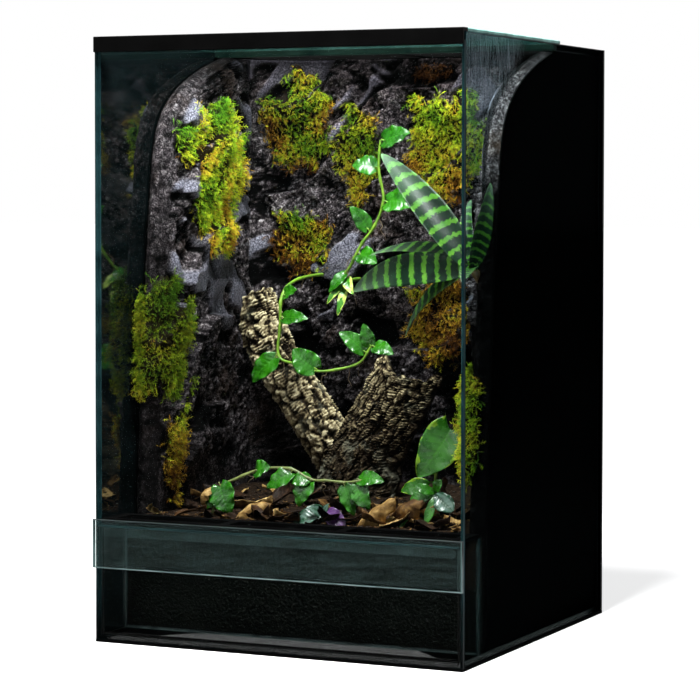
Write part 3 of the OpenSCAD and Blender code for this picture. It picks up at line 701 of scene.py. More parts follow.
def fine_relief(u, v):
    """Small rock forms over the broad layers, in millimetres, with how smooth the stone
    is and a painted light level: slabs that stand 6 mm out, coarse grains between them and
    pits, with painted shade in the pits and low grains, under each slab and at the foot of
    each layer, and near black in the holes."""
    slabs_from = smooth((v - 290) / 110)
    slab = slab_patch(u, v) * slabs_from
    under = slab_patch(u - 3, v + 9) * slabs_from * (1 - slab)
    warp = 2.2 * rubble(u / 14, v / 14, 3, 61)
    border, own = plates((u + warp) / 6.2, (v - warp) / 5.4, 31)
    grain = smooth(border / 0.42) * (0.5 + own)
    crumbs = rubble(u / 12, v / 12, 3, 11, 0.62)
    pits = np.power(clamp01(rubble(u / 24 + 3, v / 24, 3, 23) * 1.7 - 0.08), 1.4)
    rough = 1 - slab
    hole = hollow(u, v)
    height = (6 * slab + 5 * rubble(u / 42, v / 42, 2, 5) + 1.1 * slab * crumbs
              + rough * (3.6 * crumbs + 2.4 * grain - 9 * pits) - 5 * under)
    height = height * (1 - hole) - 20 * hole
    # the painted light level: painted shade at the foot of each layer's step, in pits, low grains
    # and under each slab, near black in the holes; slabs and raised grains are painted lighter
    painted_step_shade = smooth((0.16 - layers(u, v)) / 0.16)
    proud = clamp01(0.34 + rough * (0.5 * crumbs + 0.5 * grain) + 0.4 * slab - 0.5 * under
                    - 0.9 * pits * rough - 0.35 * painted_step_shade)
    return height, slab, proud * (1 - 0.97 * hole)


def back_rock():
    """Front face over x and z, with the fine relief towards the viewer."""
    x, z = np.meshgrid(np.linspace(-WING_X + 0.4, WING_X - 0.4, 196),
                       np.linspace(LINER_FOOT, LINER_TOP, 326))
    height, slab, proud = fine_relief(x, z)
    fade = above_soil(z) * smooth((WING_X - np.abs(x)) / 12)
    front = packed(x, back_face(x, z) - height * fade, z)
    return front, slab, proud, lambda rim: rim * (1, 0, 1) + (0, LINER_REAR, 0)


def wing_rock(side):
    """One wing over a run from its outer edge, round its nose and back along its inner
    face, and over height. Side is -1 for the left and 1 for the right."""
    run, z = np.meshgrid(np.concatenate([np.linspace(-1, -0.02, 14), np.linspace(0, 1, 142)]),
                         np.linspace(LINER_FOOT, LINER_TOP, 300))
    edge = wing_edge(z)
    nose = clamp01(-run)
    y = np.where(run < 0, edge + 8 - 15 * np.sin(np.pi * np.power(nose, 0.8)) - 7 * nose,
                 edge + 8 + (LINER_REAR - edge - 8) * np.power(clamp01(run), 1.1))
    height, slab, proud = fine_relief(y * side + 1000, z)
    inner = WING_X - np.where(run < 0, 0, wing_relief(y, z) + height
                              * above_soil(z) * clamp01((y - edge - 8) / 20)
                              * smooth((LINER_FRONT - 60 - y) / 20))
    x = np.where(run < 0, WING_X + (LINER_X - 2 - WING_X) * nose, inner)
    rim = smooth((0.04 - run) / 0.04)
    # painted light on each wing's nose: on the right a bright top of the nose, on the left a nose
    # painted lighter upwards; its grains take this painted light
    if side > 0:
        lit = smooth((z - 500) / 50) * (0.05 + 1.3 * smooth((nose - 0.42) / 0.16))
    else:
        lit = 0.14 + 0.24 * smooth((z - 380) / 160)
    speck = clamp01(0.75 + 0.9 * rubble(z / 9, x / 8, 3, 8, 0.8)) * (0.12 + 1.1 * lit)
    slab, proud = slab * (1 - rim), proud * (1 - rim) + rim * clamp01(speck)
    grit = (3.2 * rubble(z / 8, x / 6, 3, 77, 0.75) + 3 * rubble(z / 34, x / 30, 2, 7))
    front = packed(side * x, y + grit * rim * smooth((run + 1) / 0.1), z)
    if side > 0:
        front, slab, proud = front[:, ::-1], slab[:, ::-1], proud[:, ::-1]
    return front, slab, proud, lambda rim: rim * (0, 1, 1) + (side * LINER_X, 0, 0)


# %% Finish of the rock
def rock_finish():
    """Coated grit: brown-grey crumbs, violet-grey slabs and a few pale grains. The slab mark
    and the painted light level come from the shape itself; the latter paints shade near
    black in cracks. Over height, painted light brightens the upper part of the wall, with
    painted shade low down and in a band just under the lid."""
    new_finish("rock_liner")
    grit = noise(520, 4, 0.75)
    crumb = ramp(grit * 0.6 + noise(170, 3, 0.6) * 0.4,
                 (0.38, (0.001, 0.0008, 0.001)), (0.47, (0.018, 0.014, 0.016)),
                 (0.55, (0.095, 0.078, 0.083)), (0.66, (0.42, 0.37, 0.38)))
    stone = ramp(grit, (0.34, (0.011, 0.01, 0.014)), (0.5, (0.075, 0.071, 0.09)),
                 (0.7, (0.33, 0.31, 0.37)))
    brown = blend(ramp(noise(14, 4), (0.55, 0), (0.7, 0.55)), crumb,
                  (0.045, 0.026, 0.016))
    # painted light and shade from the relief mark
    tone = dimmed(blend(mark("slab"), brown, stone),
                  ramp(mark("proud"), (0.08, 0.004), (0.4, 0.4), (0.8, 1.4)))
    # painted light over height: painted shade near the soil and just under the lid, brightest in
    # the upper part
    height = put("SeparateXYZ", {"Vector": graph["where"]})["Z"]
    tone = dimmed(tone, ramp(height, (0.16, 0.38), (0.34, 0.85), (0.46, 1.6), (0.6, 1.5),
                             (0.668, 0.14)))
    return solid(tone, ramp(mark("slab"), (0, 0.75), (1, 0.6)),
                 bumped(noise(1000, 2, 0.6) + grit * 2, 0.8, 0.0014), 0.03)


rock_liner = rock_finish()
panel_foam = dark_finish("panel_foam", 0.0008, 0.0016, 0.9, 500, 0.3, 0.0)
for name, node, (front, slab, proud, drop) in (
        ("rock_back", "background_back", back_rock()),
        ("rock_left_wing", "background_left", wing_rock(-1)),
        ("rock_right_wing", "background_right", wing_rock(1))):
    # the carved face takes the grit; the flat back and rim are black foam
    shell = backed_shell(front, drop)
    hidden = (0, len(shell[0]) - slab.size)
    foam = np.arange(len(shell[1])) >= face_tiles(front)
    piece(name, node, shell, [rock_liner, panel_foam], smooth=~foam,
          finish_rows=foam, marks={"slab": np.pad(slab.ravel(), hidden),
                                   "proud": np.pad(proud.ravel(), hidden)})

# %% [markdown]
# ## Moss
# Sheet moss hangs on the wall in ragged pads. Up close it is thousands of feathery
# shoots, each a curved stem with short leaflets, brown where it dries, with a painted
# highlight on the tips and painted shade at the roots. One shoot is computed once as a few
# thin spikes, then all its copies are placed, turned, bent and scaled together in one array.

# %% One moss shoot
LEAFLETS = 7


def moss_shoot():
    """A shoot of unit length: stations along it, sideways and upward offsets. The stem
    is a three-sided closed spike with three rings; each leaflet is a thin closed spike
    that leaves the stem to the left or right and leans forward."""
    around = np.radians([90, 210, 330])
    stem_t, width = np.repeat([[0, 0.3, 0.65], [0.035, 0.03, 0.02]], 3, axis=1)
    stem = packed(stem_t, width * np.tile(np.cos(around), 3), width * np.tile(np.sin(around), 3))
    points = [stem, [[1, 0, 0]]]
    tiles = [grid_tiles(3, 3, True), [[6, 7, 9], [7, 8, 9], [8, 6, 9], [2, 1, 0]]]
    leaflet = np.array([[0, 1, 3], [1, 2, 3], [2, 0, 3], [2, 1, 0]])
    for k in range(LEAFLETS):
        t = 0.1 + 0.84 * k / LEAFLETS
        side = 1 if k % 2 else -1
        long = 0.29 * math.sin(math.pi * (0.25 + 0.65 * t))
        points.append([[t - 0.035, 0, 0.012], [t + 0.035, 0, 0.012], [t, 0, -0.02],
                       [t + 0.16, side * long, 0.05]])
        tiles.append((leaflet if side > 0 else leaflet[:, ::-1]) + 10 + 4 * k)
    return np.concatenate(points), np.concatenate(tiles)


SHOOT_POINTS, SHOOT_TILES = moss_shoot()


def moss_shoots(roots, away, lean, length, curl, spin):
    """Copies of the shoot. Each point runs along an arc that starts away from the wall
    and leans over by curl; offsets are turned by spin about the arc."""
    t, sideways, upward = SHOOT_POINTS.T[:, None]
    angle = curl[:, None] * t
    run, fall = np.sin(angle) / curl[:, None], (1 - np.cos(angle)) / curl[:, None]
    across = np.cross(lean, away)
    side, up = turned(sideways, upward, spin[:, None])
    points = roots[:, None] + length[:, None, None] * (
        away[:, None] * (run - up * np.sin(angle))[..., None]
        + lean[:, None] * (fall + up * np.cos(angle))[..., None]
        + across[:, None] * side[..., None])
    return copied(points, SHOOT_TILES)


print("one shoot:", len(SHOOT_TILES), "triangles")

# %% [markdown]
# Each pad is laid out flat first, over a ragged outline, and then carried onto its
# wall: the wall's own formula gives the height of the rock under every shoot. A low
# cushion of matted stems closes the gaps between the shoots.


# %% Moss pads
def unit(v):
    return v / np.linalg.norm(v, axis=-1, keepdims=True)


def on_back(a, b):
    """Points and outward directions of the back wall at x and z."""
    d = 1.5
    height = fine_relief(a, b)[0] * above_soil(b)
    slope_x = (back_face(a + d, b) - back_face(a - d, b)) / (2 * d)
    slope_z = (back_face(a, b + d) - back_face(a, b - d)) / (2 * d)
    away = unit(packed(slope_x.clip(-1, 1), -1.0, slope_z.clip(-0.7, 0.7)))
    return packed(a, back_face(a, b) - height, b), away


def on_wing(side):
    def place(a, b):
        """Points and outward directions of a wing's inner face at y and z. In front of
        the wing's edge the pad folds round its nose."""
        edge = wing_edge(b)
        over = np.clip(edge + 4 - a, 0, 60)
        turn = np.minimum(over / 14, 1.35)
        x = WING_X - wing_relief(a, b) + 14 * (1 - np.cos(turn)) + np.clip(over - 19, 0, 40) * 0.2
        y = np.where(over > 0, edge + 4 - 14 * np.sin(turn) * 0.9, a)
        away = unit(packed(-side * np.cos(turn), -np.sin(turn) - 0.12, 0.1))
        return packed(side * np.minimum(x, LINER_X - 4), y, b), away
    return place


def flips(wall):
    """True if rings over a wall's two directions turn the other way about its normal."""
    points, away = wall(np.array([100.0, 101.0, 100.0]), np.array([300.0, 300.0, 301.0]))
    return float(np.dot(np.cross(points[1] - points[0], points[2] - points[0]), away[0])) < 0


def ragged_edge(angle, seed):
    """How far a pad reaches in each direction, as a share of its size."""
    return (1 + 0.12 * np.sin(5 * angle + seed) + 0.08 * np.sin(9 * angle + 2 * seed)
            + 0.22 * rubble(np.cos(angle) * 3 + seed, np.sin(angle) * 3, 3, seed))


def moss_pad(name, wall, centre, size, thick, seed, hue, spread, taper, density=3.7, light=1.0):
    """A pad centred on the wall, size wide and high. Hue is its own mean colour, from 0
    for brown over 0.5 for gold to 1 for green, with a spread between its shoots. Light
    is painted light: how bright each shoot is painted from its shaded root to its tip, set
    for each pad by where it hangs."""
    rng = np.random.default_rng(seed)
    wide, high = size

    def on_pad(a, b):
        """Places on the wall for places on the flat pad, which run from -1 to 1."""
        return centre[0] + a * wide / 2 * (1 + taper * b), centre[1] + b * high / 2

    # the shoots: many places are drawn, those inside the ragged outline are kept
    count = int(wide * high * 0.62 / density)
    a, b = rng.uniform(-1, 1, (2, count * 3))
    reach = np.hypot(a, b) / ragged_edge(np.arctan2(b, a), seed)
    inside = (reach < 1) & (rubble(a * wide / 22 + seed, b * high / 22, 2, seed + 5)
                            + 1.5 * (1 - reach) > -0.02)
    a, b, reach = (v[inside][:count] for v in (a, b, reach))
    full = np.sqrt(clamp01(1 - reach**2))
    ground_a, ground_b = on_pad(a, b)
    rock, away = wall(ground_a, ground_b)
    lump = 0.55 + 0.45 * rubble(ground_a / 15, ground_b / 15, 2, seed + 9)
    depth = rng.uniform(0.25, 1, len(a)) ** 0.6
    roots = rock + away * (thick * 0.8 * full * lump * depth)[:, None]
    start = unit(away + 0.75 * rng.normal(0, 1, (len(a), 3)) + (0, 0, 0.25))
    down = np.array([0, 0, -1.0]) + 0.5 * rng.normal(0, 1, (len(a), 3))
    lean = unit(down - start * np.sum(down * start, -1, keepdims=True))
    grow = rng.uniform(7, 14, len(a)) * (0.75 + 0.5 * (1 - full))
    curl = rng.uniform(0.4, 2.1, len(a))
    patch = rubble(ground_a / 30 + 7, ground_b / 30, 2, seed + 3)
    shade = clamp01(hue + spread * (1.25 * patch + 0.3 * b + 0.3 * rng.normal(0, 1, len(a))))
    shoots = moss_shoots(roots, start, lean, grow, curl, rng.uniform(0, 2 * np.pi, len(a)))

    # the cushion: rings that shrink towards the middle, and the same rings in the rock
    u, v = np.meshgrid(np.linspace(0, 2 * np.pi, 48, endpoint=False), np.linspace(0.02, 0.88, 14))
    edge = ragged_edge(u, seed) * v
    mat_a, mat_b = on_pad(edge * np.cos(u), edge * np.sin(u))
    seat, outward = wall(mat_a, mat_b)
    swell = thick * 0.5 * np.sqrt(1 - (v / 0.9) ** 2)
    swell = swell * (0.7 + 0.5 * rubble(mat_a / 9, mat_b / 9, 3, seed))
    swell = swell - 2.5 * smooth((v - 0.7) / 0.18)
    rings = np.concatenate([seat + outward * swell[..., None], seat[::-1] - outward[::-1] * 4])
    mat = tube_shell(rings if flips(wall) else rings[::-1])
    points, tiles = joined([shoots, mat])
    points[:, 0] = points[:, 0].clip(-LINER_X, LINER_X)
    # painted light along each shoot; the cushion under the shoots gets none, which paints it near
    # black as shade
    tips = np.tile(clamp01(SHOOT_POINTS[:, 0] * light), len(a))
    hues = np.repeat(shade, len(SHOOT_POINTS))
    rest = len(mat[0])
    piece(name + "_pad", name, (points, tiles), moss_finish,
          marks={"tip": np.pad(tips, (0, rest)), "hue": np.append(hues, np.full(rest, hue * 0.6))})


# %% Finish of the moss
def moss_material():
    """Brown through gold to green by each shoot's hue, with painted shade at the root and a
    painted highlight at the tip."""
    new_finish("moss")
    leaf = ramp(mark("hue") + (noise(700, 2) - 0.5) * 0.35,
                (0.0, (0.1, 0.035, 0.006)), (0.2, (0.32, 0.13, 0.015)), (0.4, (0.66, 0.4, 0.03)),
                (0.56, (0.6, 0.58, 0.03)), (0.78, (0.36, 0.56, 0.02)), (1.0, (0.09, 0.26, 0.015)))
    # painted light: near black at the root, past full brightness at the tip
    light = ramp(mark("tip"), (0.0, 0.008), (0.35, 0.28), (0.75, 1.1), (1.0, 1.6))
    return solid(dimmed(leaf, light), 0.6, shine=0.05)


moss_finish = moss_material()
for pad in [
    # name, wall, centre, size, thickness, seed, hue, spread, taper, density, light
    # the last number, light, is painted light and shade, set pad by pad
    ("moss_upper_left", on_wing(-1), (226, 528), (158, 192), 26, 20, 0.66, 0.42, 0.52, 4.6, 1.2),
    ("moss_top_centre", on_back, (-150, 600), (80, 132), 16, 75, 0.6, 0.6, 0.05, 3.7, 1.1),
    ("moss_upper_centre", on_back, (-74, 556), (54, 130), 15, 130, 0.65, 0.4, 0.2, 3.7, 1.1),
    ("moss_centre_low", on_back, (-145, 446), (72, 84), 14, 205, 0.5, 0.6, 0.1),
    ("moss_top_right", on_back, (46, 566), (112, 136), 16, 260, 0.66, 0.4, 0.0, 3.7, 1.45),
    ("moss_small_top", on_back, (22, 655), (48, 20), 8, 310, 0.02, 0.15, 0.0, 3.7, 0.5),
    ("moss_mid_right", on_back, (36, 352), (92, 104), 16, 15, 0.3, 0.35, 0.0, 3.7, 0.85),
    ("moss_lower_left", on_wing(-1), (96, 340), (124, 140), 32, 95, 0.8, 0.3, 0.05, 3.9, 0.6),
    ("moss_left_tail", on_wing(-1), (122, 205), (44, 118), 15, 165, 0.45, 0.4, 0.1, 3.7, 0.75),
    ("moss_lower_right", on_wing(1), (92, 255), (70, 132), 26, 235, 0.72, 0.35, 0.0, 3.7, 0.85),
]:
    moss_pad(*pad)

# %% [markdown]
# ## Paths
# Bark, leaves and stems follow a path smoothed through a few points. Rings that stand
# square to the path make a tube of it.


# %% Smooth paths and tubes
def smooth_path(points, count):
    """A curve through the points: each stretch is the cubic whose slope at a point is
    half the step between its two neighbours."""
    p = np.asarray(points, float)
    p = np.concatenate([[2 * p[0] - p[1]], p, [2 * p[-1] - p[-2]]])
    t = np.linspace(0, len(points) - 1, count)
    k = np.minimum(t.astype(int), len(points) - 2)
    f = (t - k)[:, None]
    a, b, c, d = p[k], p[k + 1], p[k + 2], p[k + 3]
    return 0.5 * (2 * b + (c - a) * f + (2 * a - 5 * b + 4 * c - d) * f**2
                  + (3 * b - a - 3 * c + d) * f**3)


def frames_along(path, hint=(0.31, 0.9, 0.3)):
    """Direction of travel, side and up at each point of a path."""
    along = unit(np.gradient(path, axis=0))
    side = unit(np.cross(along, hint))
    return along, side, np.cross(along, side)


def once_round(count):
    """Angles of count places round a ring."""
    return np.linspace(0, 2 * np.pi, count, endpoint=False)


def round_shoot(path, radii, around=10):
    """A tube whose rings stand square to the path, with a radius at each point."""
    _, side, up = frames_along(path)
    turn = once_round(around)[:, None]
    ring = np.cos(turn) * side[:, None] + np.sin(turn) * up[:, None]
    return tube_shell(path[:, None] + ring * np.asarray(radii)[:, None, None])


# %% [markdown]
# ## Cork bark
# Two pieces of virgin cork lean together in a V: a hollow branch on the left and a
# curved slab on the right. Cork is built of corky plates parted by deep cracks, and
# every plate is a stack of thin year layers that show as fine cross ridges. The relief
# below adds the three: plates, ridges and wormy pits.


# %% Relief of the bark
def bark_relief(run, turn, seed, ridging=1.0):
    """Height of the bark over its core in millimetres, over the length run and the
    distance turn round it, and a painted light level there: painted shade, from 0 in a crack,
    in chips and wormholes, and a painted highlight on the ridge crests.
    Ridging is how strongly the year layers, one to each 3.7 mm, show."""
    warp = 6 * rubble(run / 22, turn / 22, 3, seed)
    border, own = plates((turn + warp) / 13, (run + 1.5 * warp) / 26, seed + 3)
    crack = np.power(smooth(1 - border / 0.34), 1.2)
    small, own_small = plates((turn - warp) / 4.8, (run + warp) / 6.4, seed + 8)
    chip = smooth(1 - small / 0.42)
    ridge = np.sin(2 * np.pi * (run + 4 * rubble(turn / 9, run / 16, 3, seed + 5)) / 3.7)
    ridged = smooth(rubble(run / 24 + 5, turn / 17, 2, seed + 20) * 3 + 0.6)
    worm = clamp01(rubble(run / 7.5, turn / 7.5, 3, seed + 12) * 2.3 - 0.4)
    ridge = ridge * ridged * ridging
    crumbs = rubble(run / 4, turn / 5, 4, seed + 30, 0.75)
    height = (3 * (own - 0.4) - 3.2 * crack - 0.8 * chip + 1.2 * (own_small - 0.5)
              + 1.4 * ridge - 4.5 * worm + 3 * crumbs)
    # painted light: painted shade in cracks, chips and wormholes, a painted highlight on the ridge
    # crests
    light = clamp01(0.74 + 0.26 * ridge + 0.25 * (own_small - 0.5) + 0.6 * crumbs
                    - 0.5 * crack - 0.22 * chip - 0.9 * worm)
    return height, light


LIMB_PATH = [(-64, 334, 126), (-70, 334, 168), (-86, 330, 200), (-106, 326, 232),
             (-126, 322, 262), (-146, 318, 292), (-159, 316, 314), (-171, 315, 338),
             (-182, 315, 360), (-190, 315, 380)]


def cork_limb(stations=300, around=128, wide=31, deep=20):
    """Rings of half width wide and half depth deep along the branch, then over the
    broken rim and back down inside."""
    path = smooth_path(LIMB_PATH, stations)
    along, side, up = frames_along(path, (0, 1, 0))
    turn = once_round(around)
    run = np.concatenate([[0], np.cumsum(np.linalg.norm(np.diff(path, axis=0), axis=1))])
    runs, turns = np.meshgrid(run, turn, indexing="ij")
    from_front = (turns + np.pi / 2) % (2 * np.pi) - np.pi
    hidden = smooth((np.abs(from_front) - 2.5) / 0.6)  # meets itself at the rear
    front, rear = (bark_relief(runs, round_it, 60, 0.55)
                   for round_it in (from_front * 24, 0 * turns + 140))
    height, light = (a * (1 - hidden) + b * hidden for a, b in zip(front, rear, strict=True))
    outer = (path[:, None] + side[:, None] * ((wide + height) * np.cos(turns))[..., None]
             + up[:, None] * ((deep + height) * np.sin(turns))[..., None])
    jag = 7 * rubble(np.cos(turn) * 2.5, np.sin(turn) * 2.5, 4, 91)
    top = outer[-1] + along[-1] * jag[:, None]
    outer[-12:] += (along[-1] * jag[:, None])[None] * np.linspace(0, 1, 12)[:, None, None]
    inner = []
    for share, drop in ((0.93, 0.5), (0.85, -1.5), (0.76, -5), (0.7, -14), (0.66, -28),
                        (0.6, -44)):
        ring = path[-1] + share * (top - path[-1]) + along[-1] * drop
        inner.append(ring + side[-1] * 1.5 * rubble(turn * 5 % 31, turn * 0 + drop, 2, 9)[:, None])
    # painted shade that deepens down inside the broken end
    inside = np.repeat(np.linspace(0.75, 0.0, 6).clip(0.02), around)
    return (tube_shell(np.concatenate([outer, inner])),
            np.concatenate([light.ravel(), inside, [0.02, 0.02]]))


SLAB_LEFT = [(-88, 128), (-86, 160), (-76, 196), (-60, 228), (-42, 258), (-25, 290), (-10, 318)]
SLAB_RIGHT = [(14, 122), (14, 152), (22, 184), (32, 212), (44, 240), (56, 266), (66, 290)]


def cork_slab(stations=240, across=130, bow=30):
    """A curved slab: each station runs from the left edge to the right edge and bows
    forward; the inner face follows it 10 mm behind."""
    left, right = (smooth_path([(x, 286 + 4 * i, z) for i, (x, z) in enumerate(edge)],
                               stations)[:, None] for edge in (SLAB_LEFT, SLAB_RIGHT))
    t, s = np.meshgrid(np.linspace(0, 1, stations), np.linspace(0, 1, across), indexing="ij")
    run, turn = t * 215, s * 128
    height, light = bark_relief(run, turn, 140)
    hole = np.hypot((s - 0.62) * 1.5, (t - 0.55) * 2.2) + 0.06 * rubble(turn / 9, run / 9, 3, 5)
    sunk = smooth(1 - hole / 0.16)
    bowed = bow * np.sin(np.pi * s)
    # painted shade in the sunk hollow
    light = light * (1 - 0.85 * sunk)
    broken = smooth((t - 0.9) / 0.1)
    notch = (14 * np.sin(np.pi * s) + 9 * rubble(turn / 13, 0 * turn, 3, 31)) * broken
    edge = 3.5 * rubble(run / 12, 0 * run, 3, 17) * (np.power(s, 8) - np.power(1 - s, 8))
    base = left * (1 - s[..., None]) + right * s[..., None]
    outer = base + packed(edge, -(bowed + height - 9 * sunk), -notch)
    worn = 1.4 * rubble(run / 15, turn / 15, 3, 77)
    inner = base + packed(edge, 10 + worn - bowed, -notch - 1.5)
    # painted shade towards the slab's foot and its right edge, and on the inner face
    light = light * (0.36 + 0.5 * smooth((t - 0.35) / 0.5) * (1 - 0.5 * smooth((s - 0.6) / 0.4)))
    dark = clamp01(0.3 + 0.2 * rubble(run / 6, turn / 6, 2, 3))
    return sheet_shell(outer, inner), np.append(light, dark)


# %% Finish of the cork
def cork_finish():
    """Tone by painted light: dark brown as painted shade in the cracks, grey-tan on the
    plates, paler as a painted highlight on the ridge crests.
    """
    new_finish("cork_bark")
    fine = noise(480, 4, 0.65)
    tone = ramp(mark("light") + (fine - 0.5) * 0.6, (0.0, (0.006, 0.004, 0.002)),
                (0.25, (0.026, 0.017, 0.01)), (0.5, (0.17, 0.13, 0.072)),
                (0.72, (0.42, 0.34, 0.2)), (1.0, (0.68, 0.58, 0.39)))
    lichen = ramp(noise(26, 4), (0.55, 0), (0.72, 0.5))
    return solid(blend(lichen, tone, (0.2, 0.2, 0.15)), 0.85,
                 bumped(fine + noise(1100, 2), 0.6, 0.0009), 0.06)


cork_bark = cork_finish()
for name, (shell, light) in (("cork_left_limb", cork_limb()), ("cork_right_slab", cork_slab())):
    piece(name + "_bark", name, shell, cork_bark, marks={"light": light})

# %% [markdown]
# ## Soil and drainage
# Under the plants lies dark soil over a fabric sheet and a bed of coarse drainage foam.
# The bed fills the ground between the partition and the rock, so its grid is stretched
# from the partition's rear face to the rock's foot at every x.

# %% Ground surfaces
GROUND_FRONT = 62.6  # just behind the partition


def ground_rear(x):
    """Where the ground meets the rock: the back wall's foot, or the wings' noses."""
    behind_nose = smooth((198.5 - np.abs(x)) / 1.5)
    return 66.6 + (LINER_FRONT - 0.6 - cove(np.clip(x, -197.1, 197.1)) - 66.6) * behind_nose


def soil_z(x, y):
    """Top of the soil: it rises by 14 mm towards the rear and rolls by 2.5 mm."""
    rise = 14 * clamp01((y - PARTITION_REAR) / (LINER_FRONT - PARTITION_REAR))
    return 136 + rise + 2.5 * sin_deg(2.4 * x + 30) * cos_deg(2.9 * y)


def ground_grid(columns, rows):
    """x and y over the bed, with more columns near the wings' noses."""
    x = np.concatenate([np.linspace(-219.4, -199, 10)[:-1], np.linspace(-199, -196.5, 6)[:-1],
                        np.linspace(-196.5, 196.5, columns), np.linspace(196.5, 199, 6)[1:],
                        np.linspace(199, 219.4, 10)[1:]])
    t = np.linspace(0, 1, rows)[:, None]
    return np.broadcast_arrays(x, GROUND_FRONT + (ground_rear(x) - GROUND_FRONT) * t)


def bed(x, y, top, foot):
    """A layer of ground with a flat underside, and how many triangles its top has."""
    top = packed(x, y, top)
    return sheet_shell(top, packed(x, y, foot)), face_tiles(top)


def soil_bed():
    """Soil with clods, on its flat underside."""
    x, y = ground_grid(210, 170)
    clods = rubble(x / 9, y / 9, 4, 3, 0.65)
    z = soil_z(x, y) + (2.6 * clods + 1.2) * smooth((y - GROUND_FRONT) / 6)
    return bed(x, y, np.where(np.abs(x) > 197, np.minimum(z, 137), z), 79.6)


def flat_bed(low, high, seed):
    """A layer of even thickness over the bed, its upper face a little uneven."""
    x, y = ground_grid(90, 60)
    uneven = 0.4 * rubble(x / 12, y / 12, 3, seed)
    return bed(x, y, high - 0.5 + uneven, low)


# %% Finishes of the ground
def earth_finish(name, dark, mid, pale, fleck, size, depth):
    """Earth or foam: mottled, with pale flecks, rough all over."""
    new_finish(name)
    mottle = noise(size, 5, 0.65) * 0.6 + noise(size * 4, 4, 0.7) * 0.4
    return solid(ramp(mottle, (0.36, dark), (0.5, mid), (0.64, pale), (0.74, fleck)), 0.92,
                 bumped(mottle, 0.9, depth), 0.03)


soil_finish = earth_finish("soil", (0.002, 0.0015, 0.001), (0.01, 0.006, 0.004),
                           (0.035, 0.021, 0.012), (0.14, 0.09, 0.05), 170, 0.002)
foam_finish = earth_finish("drainage_foam", (0.0004, 0.0006, 0.0004), (0.001, 0.0014, 0.001),
                           (0.003, 0.0035, 0.0025), (0.012, 0.012, 0.008), 90, 0.002)
felt_finish = earth_finish("drainage_sheet", 0.002, 0.008, 0.02, 0.04, 900, 0.0004)
for name, (shell, upper), finish, node, slot in (
        ("soil_bed", soil_bed(), soil_finish, "substrate", "soil"),
        ("drainage_bed", flat_bed(9.3, 78, 5), foam_finish, "drainage_layer", "drainage_foam"),
        ("drainage_felt", flat_bed(78.1, 80, 6), felt_finish, "drainage_sheet", "drainage_sheet")):
    piece(name, node, shell, finish, smooth=np.arange(len(shell[1])) < upper)

# %% [markdown]
# ## Leaves and stems
# A leaf blade is a grid along its midrib and across it. The outline widens quickly and
# tapers to the tip, the midrib arches, the two halves fold up a little from the midrib,
# and the blade sinks between its side veins. Copies differ by their own numbers, so one
# short table per plant is enough.


# %% One leaf blade
def blade_grid(rows, columns):
    """Places along a blade, 0 to 1, and across it, -1 to 1."""
    return np.meshgrid(np.linspace(0, 1, rows), np.linspace(-1, 1, columns), indexing="ij")


def blade(front, back, t, s):
    """A sheet with its two marks, the places along and across, at every point."""
    return sheet_shell(front, back), np.tile(packed(t, s).reshape(-1, 2), (2, 1))


def leaf_shell(base, tip, width, arch, facing=(0, -0.5, 1), cup=0.15, point=0.62, lobe=0.0,
               wave=0.0, teeth=0.0, rows=30, columns=13, thick=0.35, seed=0, vein=0.05, foot=0.0):
    """A blade from base to tip. Arch lifts its middle, cup folds its halves, point is
    the share of the length where it is widest, lobe makes the foot heart shaped and foot
    keeps it broad."""
    base, tip = np.asarray(base, float), np.asarray(tip, float)
    span = tip - base
    long = np.linalg.norm(span)
    along = span / long
    face = np.asarray(facing, float)
    face = unit(face - along * np.dot(face, along))
    side = np.cross(along, face)
    t, s = blade_grid(rows, columns)
    broad = np.sin(np.pi * t ** (math.log(0.5) / math.log(point))) ** 0.62 * (1 - 0.25 * t)
    broad = np.maximum(broad / broad.max(), lobe * 0.75 * np.exp(-t * 7) * (1 - t))
    broad = np.maximum(broad, foot * (t < point))
    edge = 1 + teeth * (0.5 - np.abs((t * 26 + 0.3 * seed) % 1 - 0.5)) * 2
    half = width / 2 * np.maximum(broad, 0.02) * edge
    back_step = lobe * 0.30 * width * np.abs(s) ** 1.5 * np.exp(-t * 6)
    ribs = vein * width * 0.35 * np.cos(2 * np.pi * (t * 7.5 - np.abs(s) * 1.4)) * (1 - s * s)
    ripple = wave * width * np.sin(t * 19 + seed) * s * np.abs(s)
    height = arch * 4 * t * (1 - t) + cup * half * s * s + ribs * broad + ripple
    swing = 0.06 * long * np.sin(seed * 2.3) * t * (1 - t) * 4
    middle = (base + along * (t * long - back_step)[..., None] + face * height[..., None]
              + side * (s * half + swing)[..., None])
    body = thick * (1 - 0.75 * s * s) * (0.4 + broad)
    normal = np.cross(np.gradient(middle, axis=0), np.gradient(middle, axis=1))
    normal = normal / np.maximum(np.linalg.norm(normal, axis=-1, keepdims=True), 1e-6)
    half_body = normal * body[..., None] * 0.5
    return blade(middle - half_body, middle + half_body, t, s)


def stem_shell(points, thick, thin, knuckles=0.0, count=0, around=9):
    """A stem that thins from thick to thin, with a swelling at each joint."""
    count = count or 14 * len(points)
    t = np.linspace(0, 1, count)
    radii = thick + (thin - thick) * t
    radii = radii + knuckles * np.exp(-((t * len(points)) % 1 - 0.5) ** 2 * 40)
    return round_shoot(smooth_path(points, count),
                       np.maximum(radii * np.minimum(1, (1.02 - t) * 30), 0.15), around)


# %% [markdown]
# ## Finishes of the plants
# Leaves are waxy: a dark green body, paler veins, a clear shine. The marks along and
# across carry the midrib and side veins, so they follow every bend of the blade.


# %% Leaf finishes
ping_pong = maths("PINGPONG")  # runs up to the second value and down again


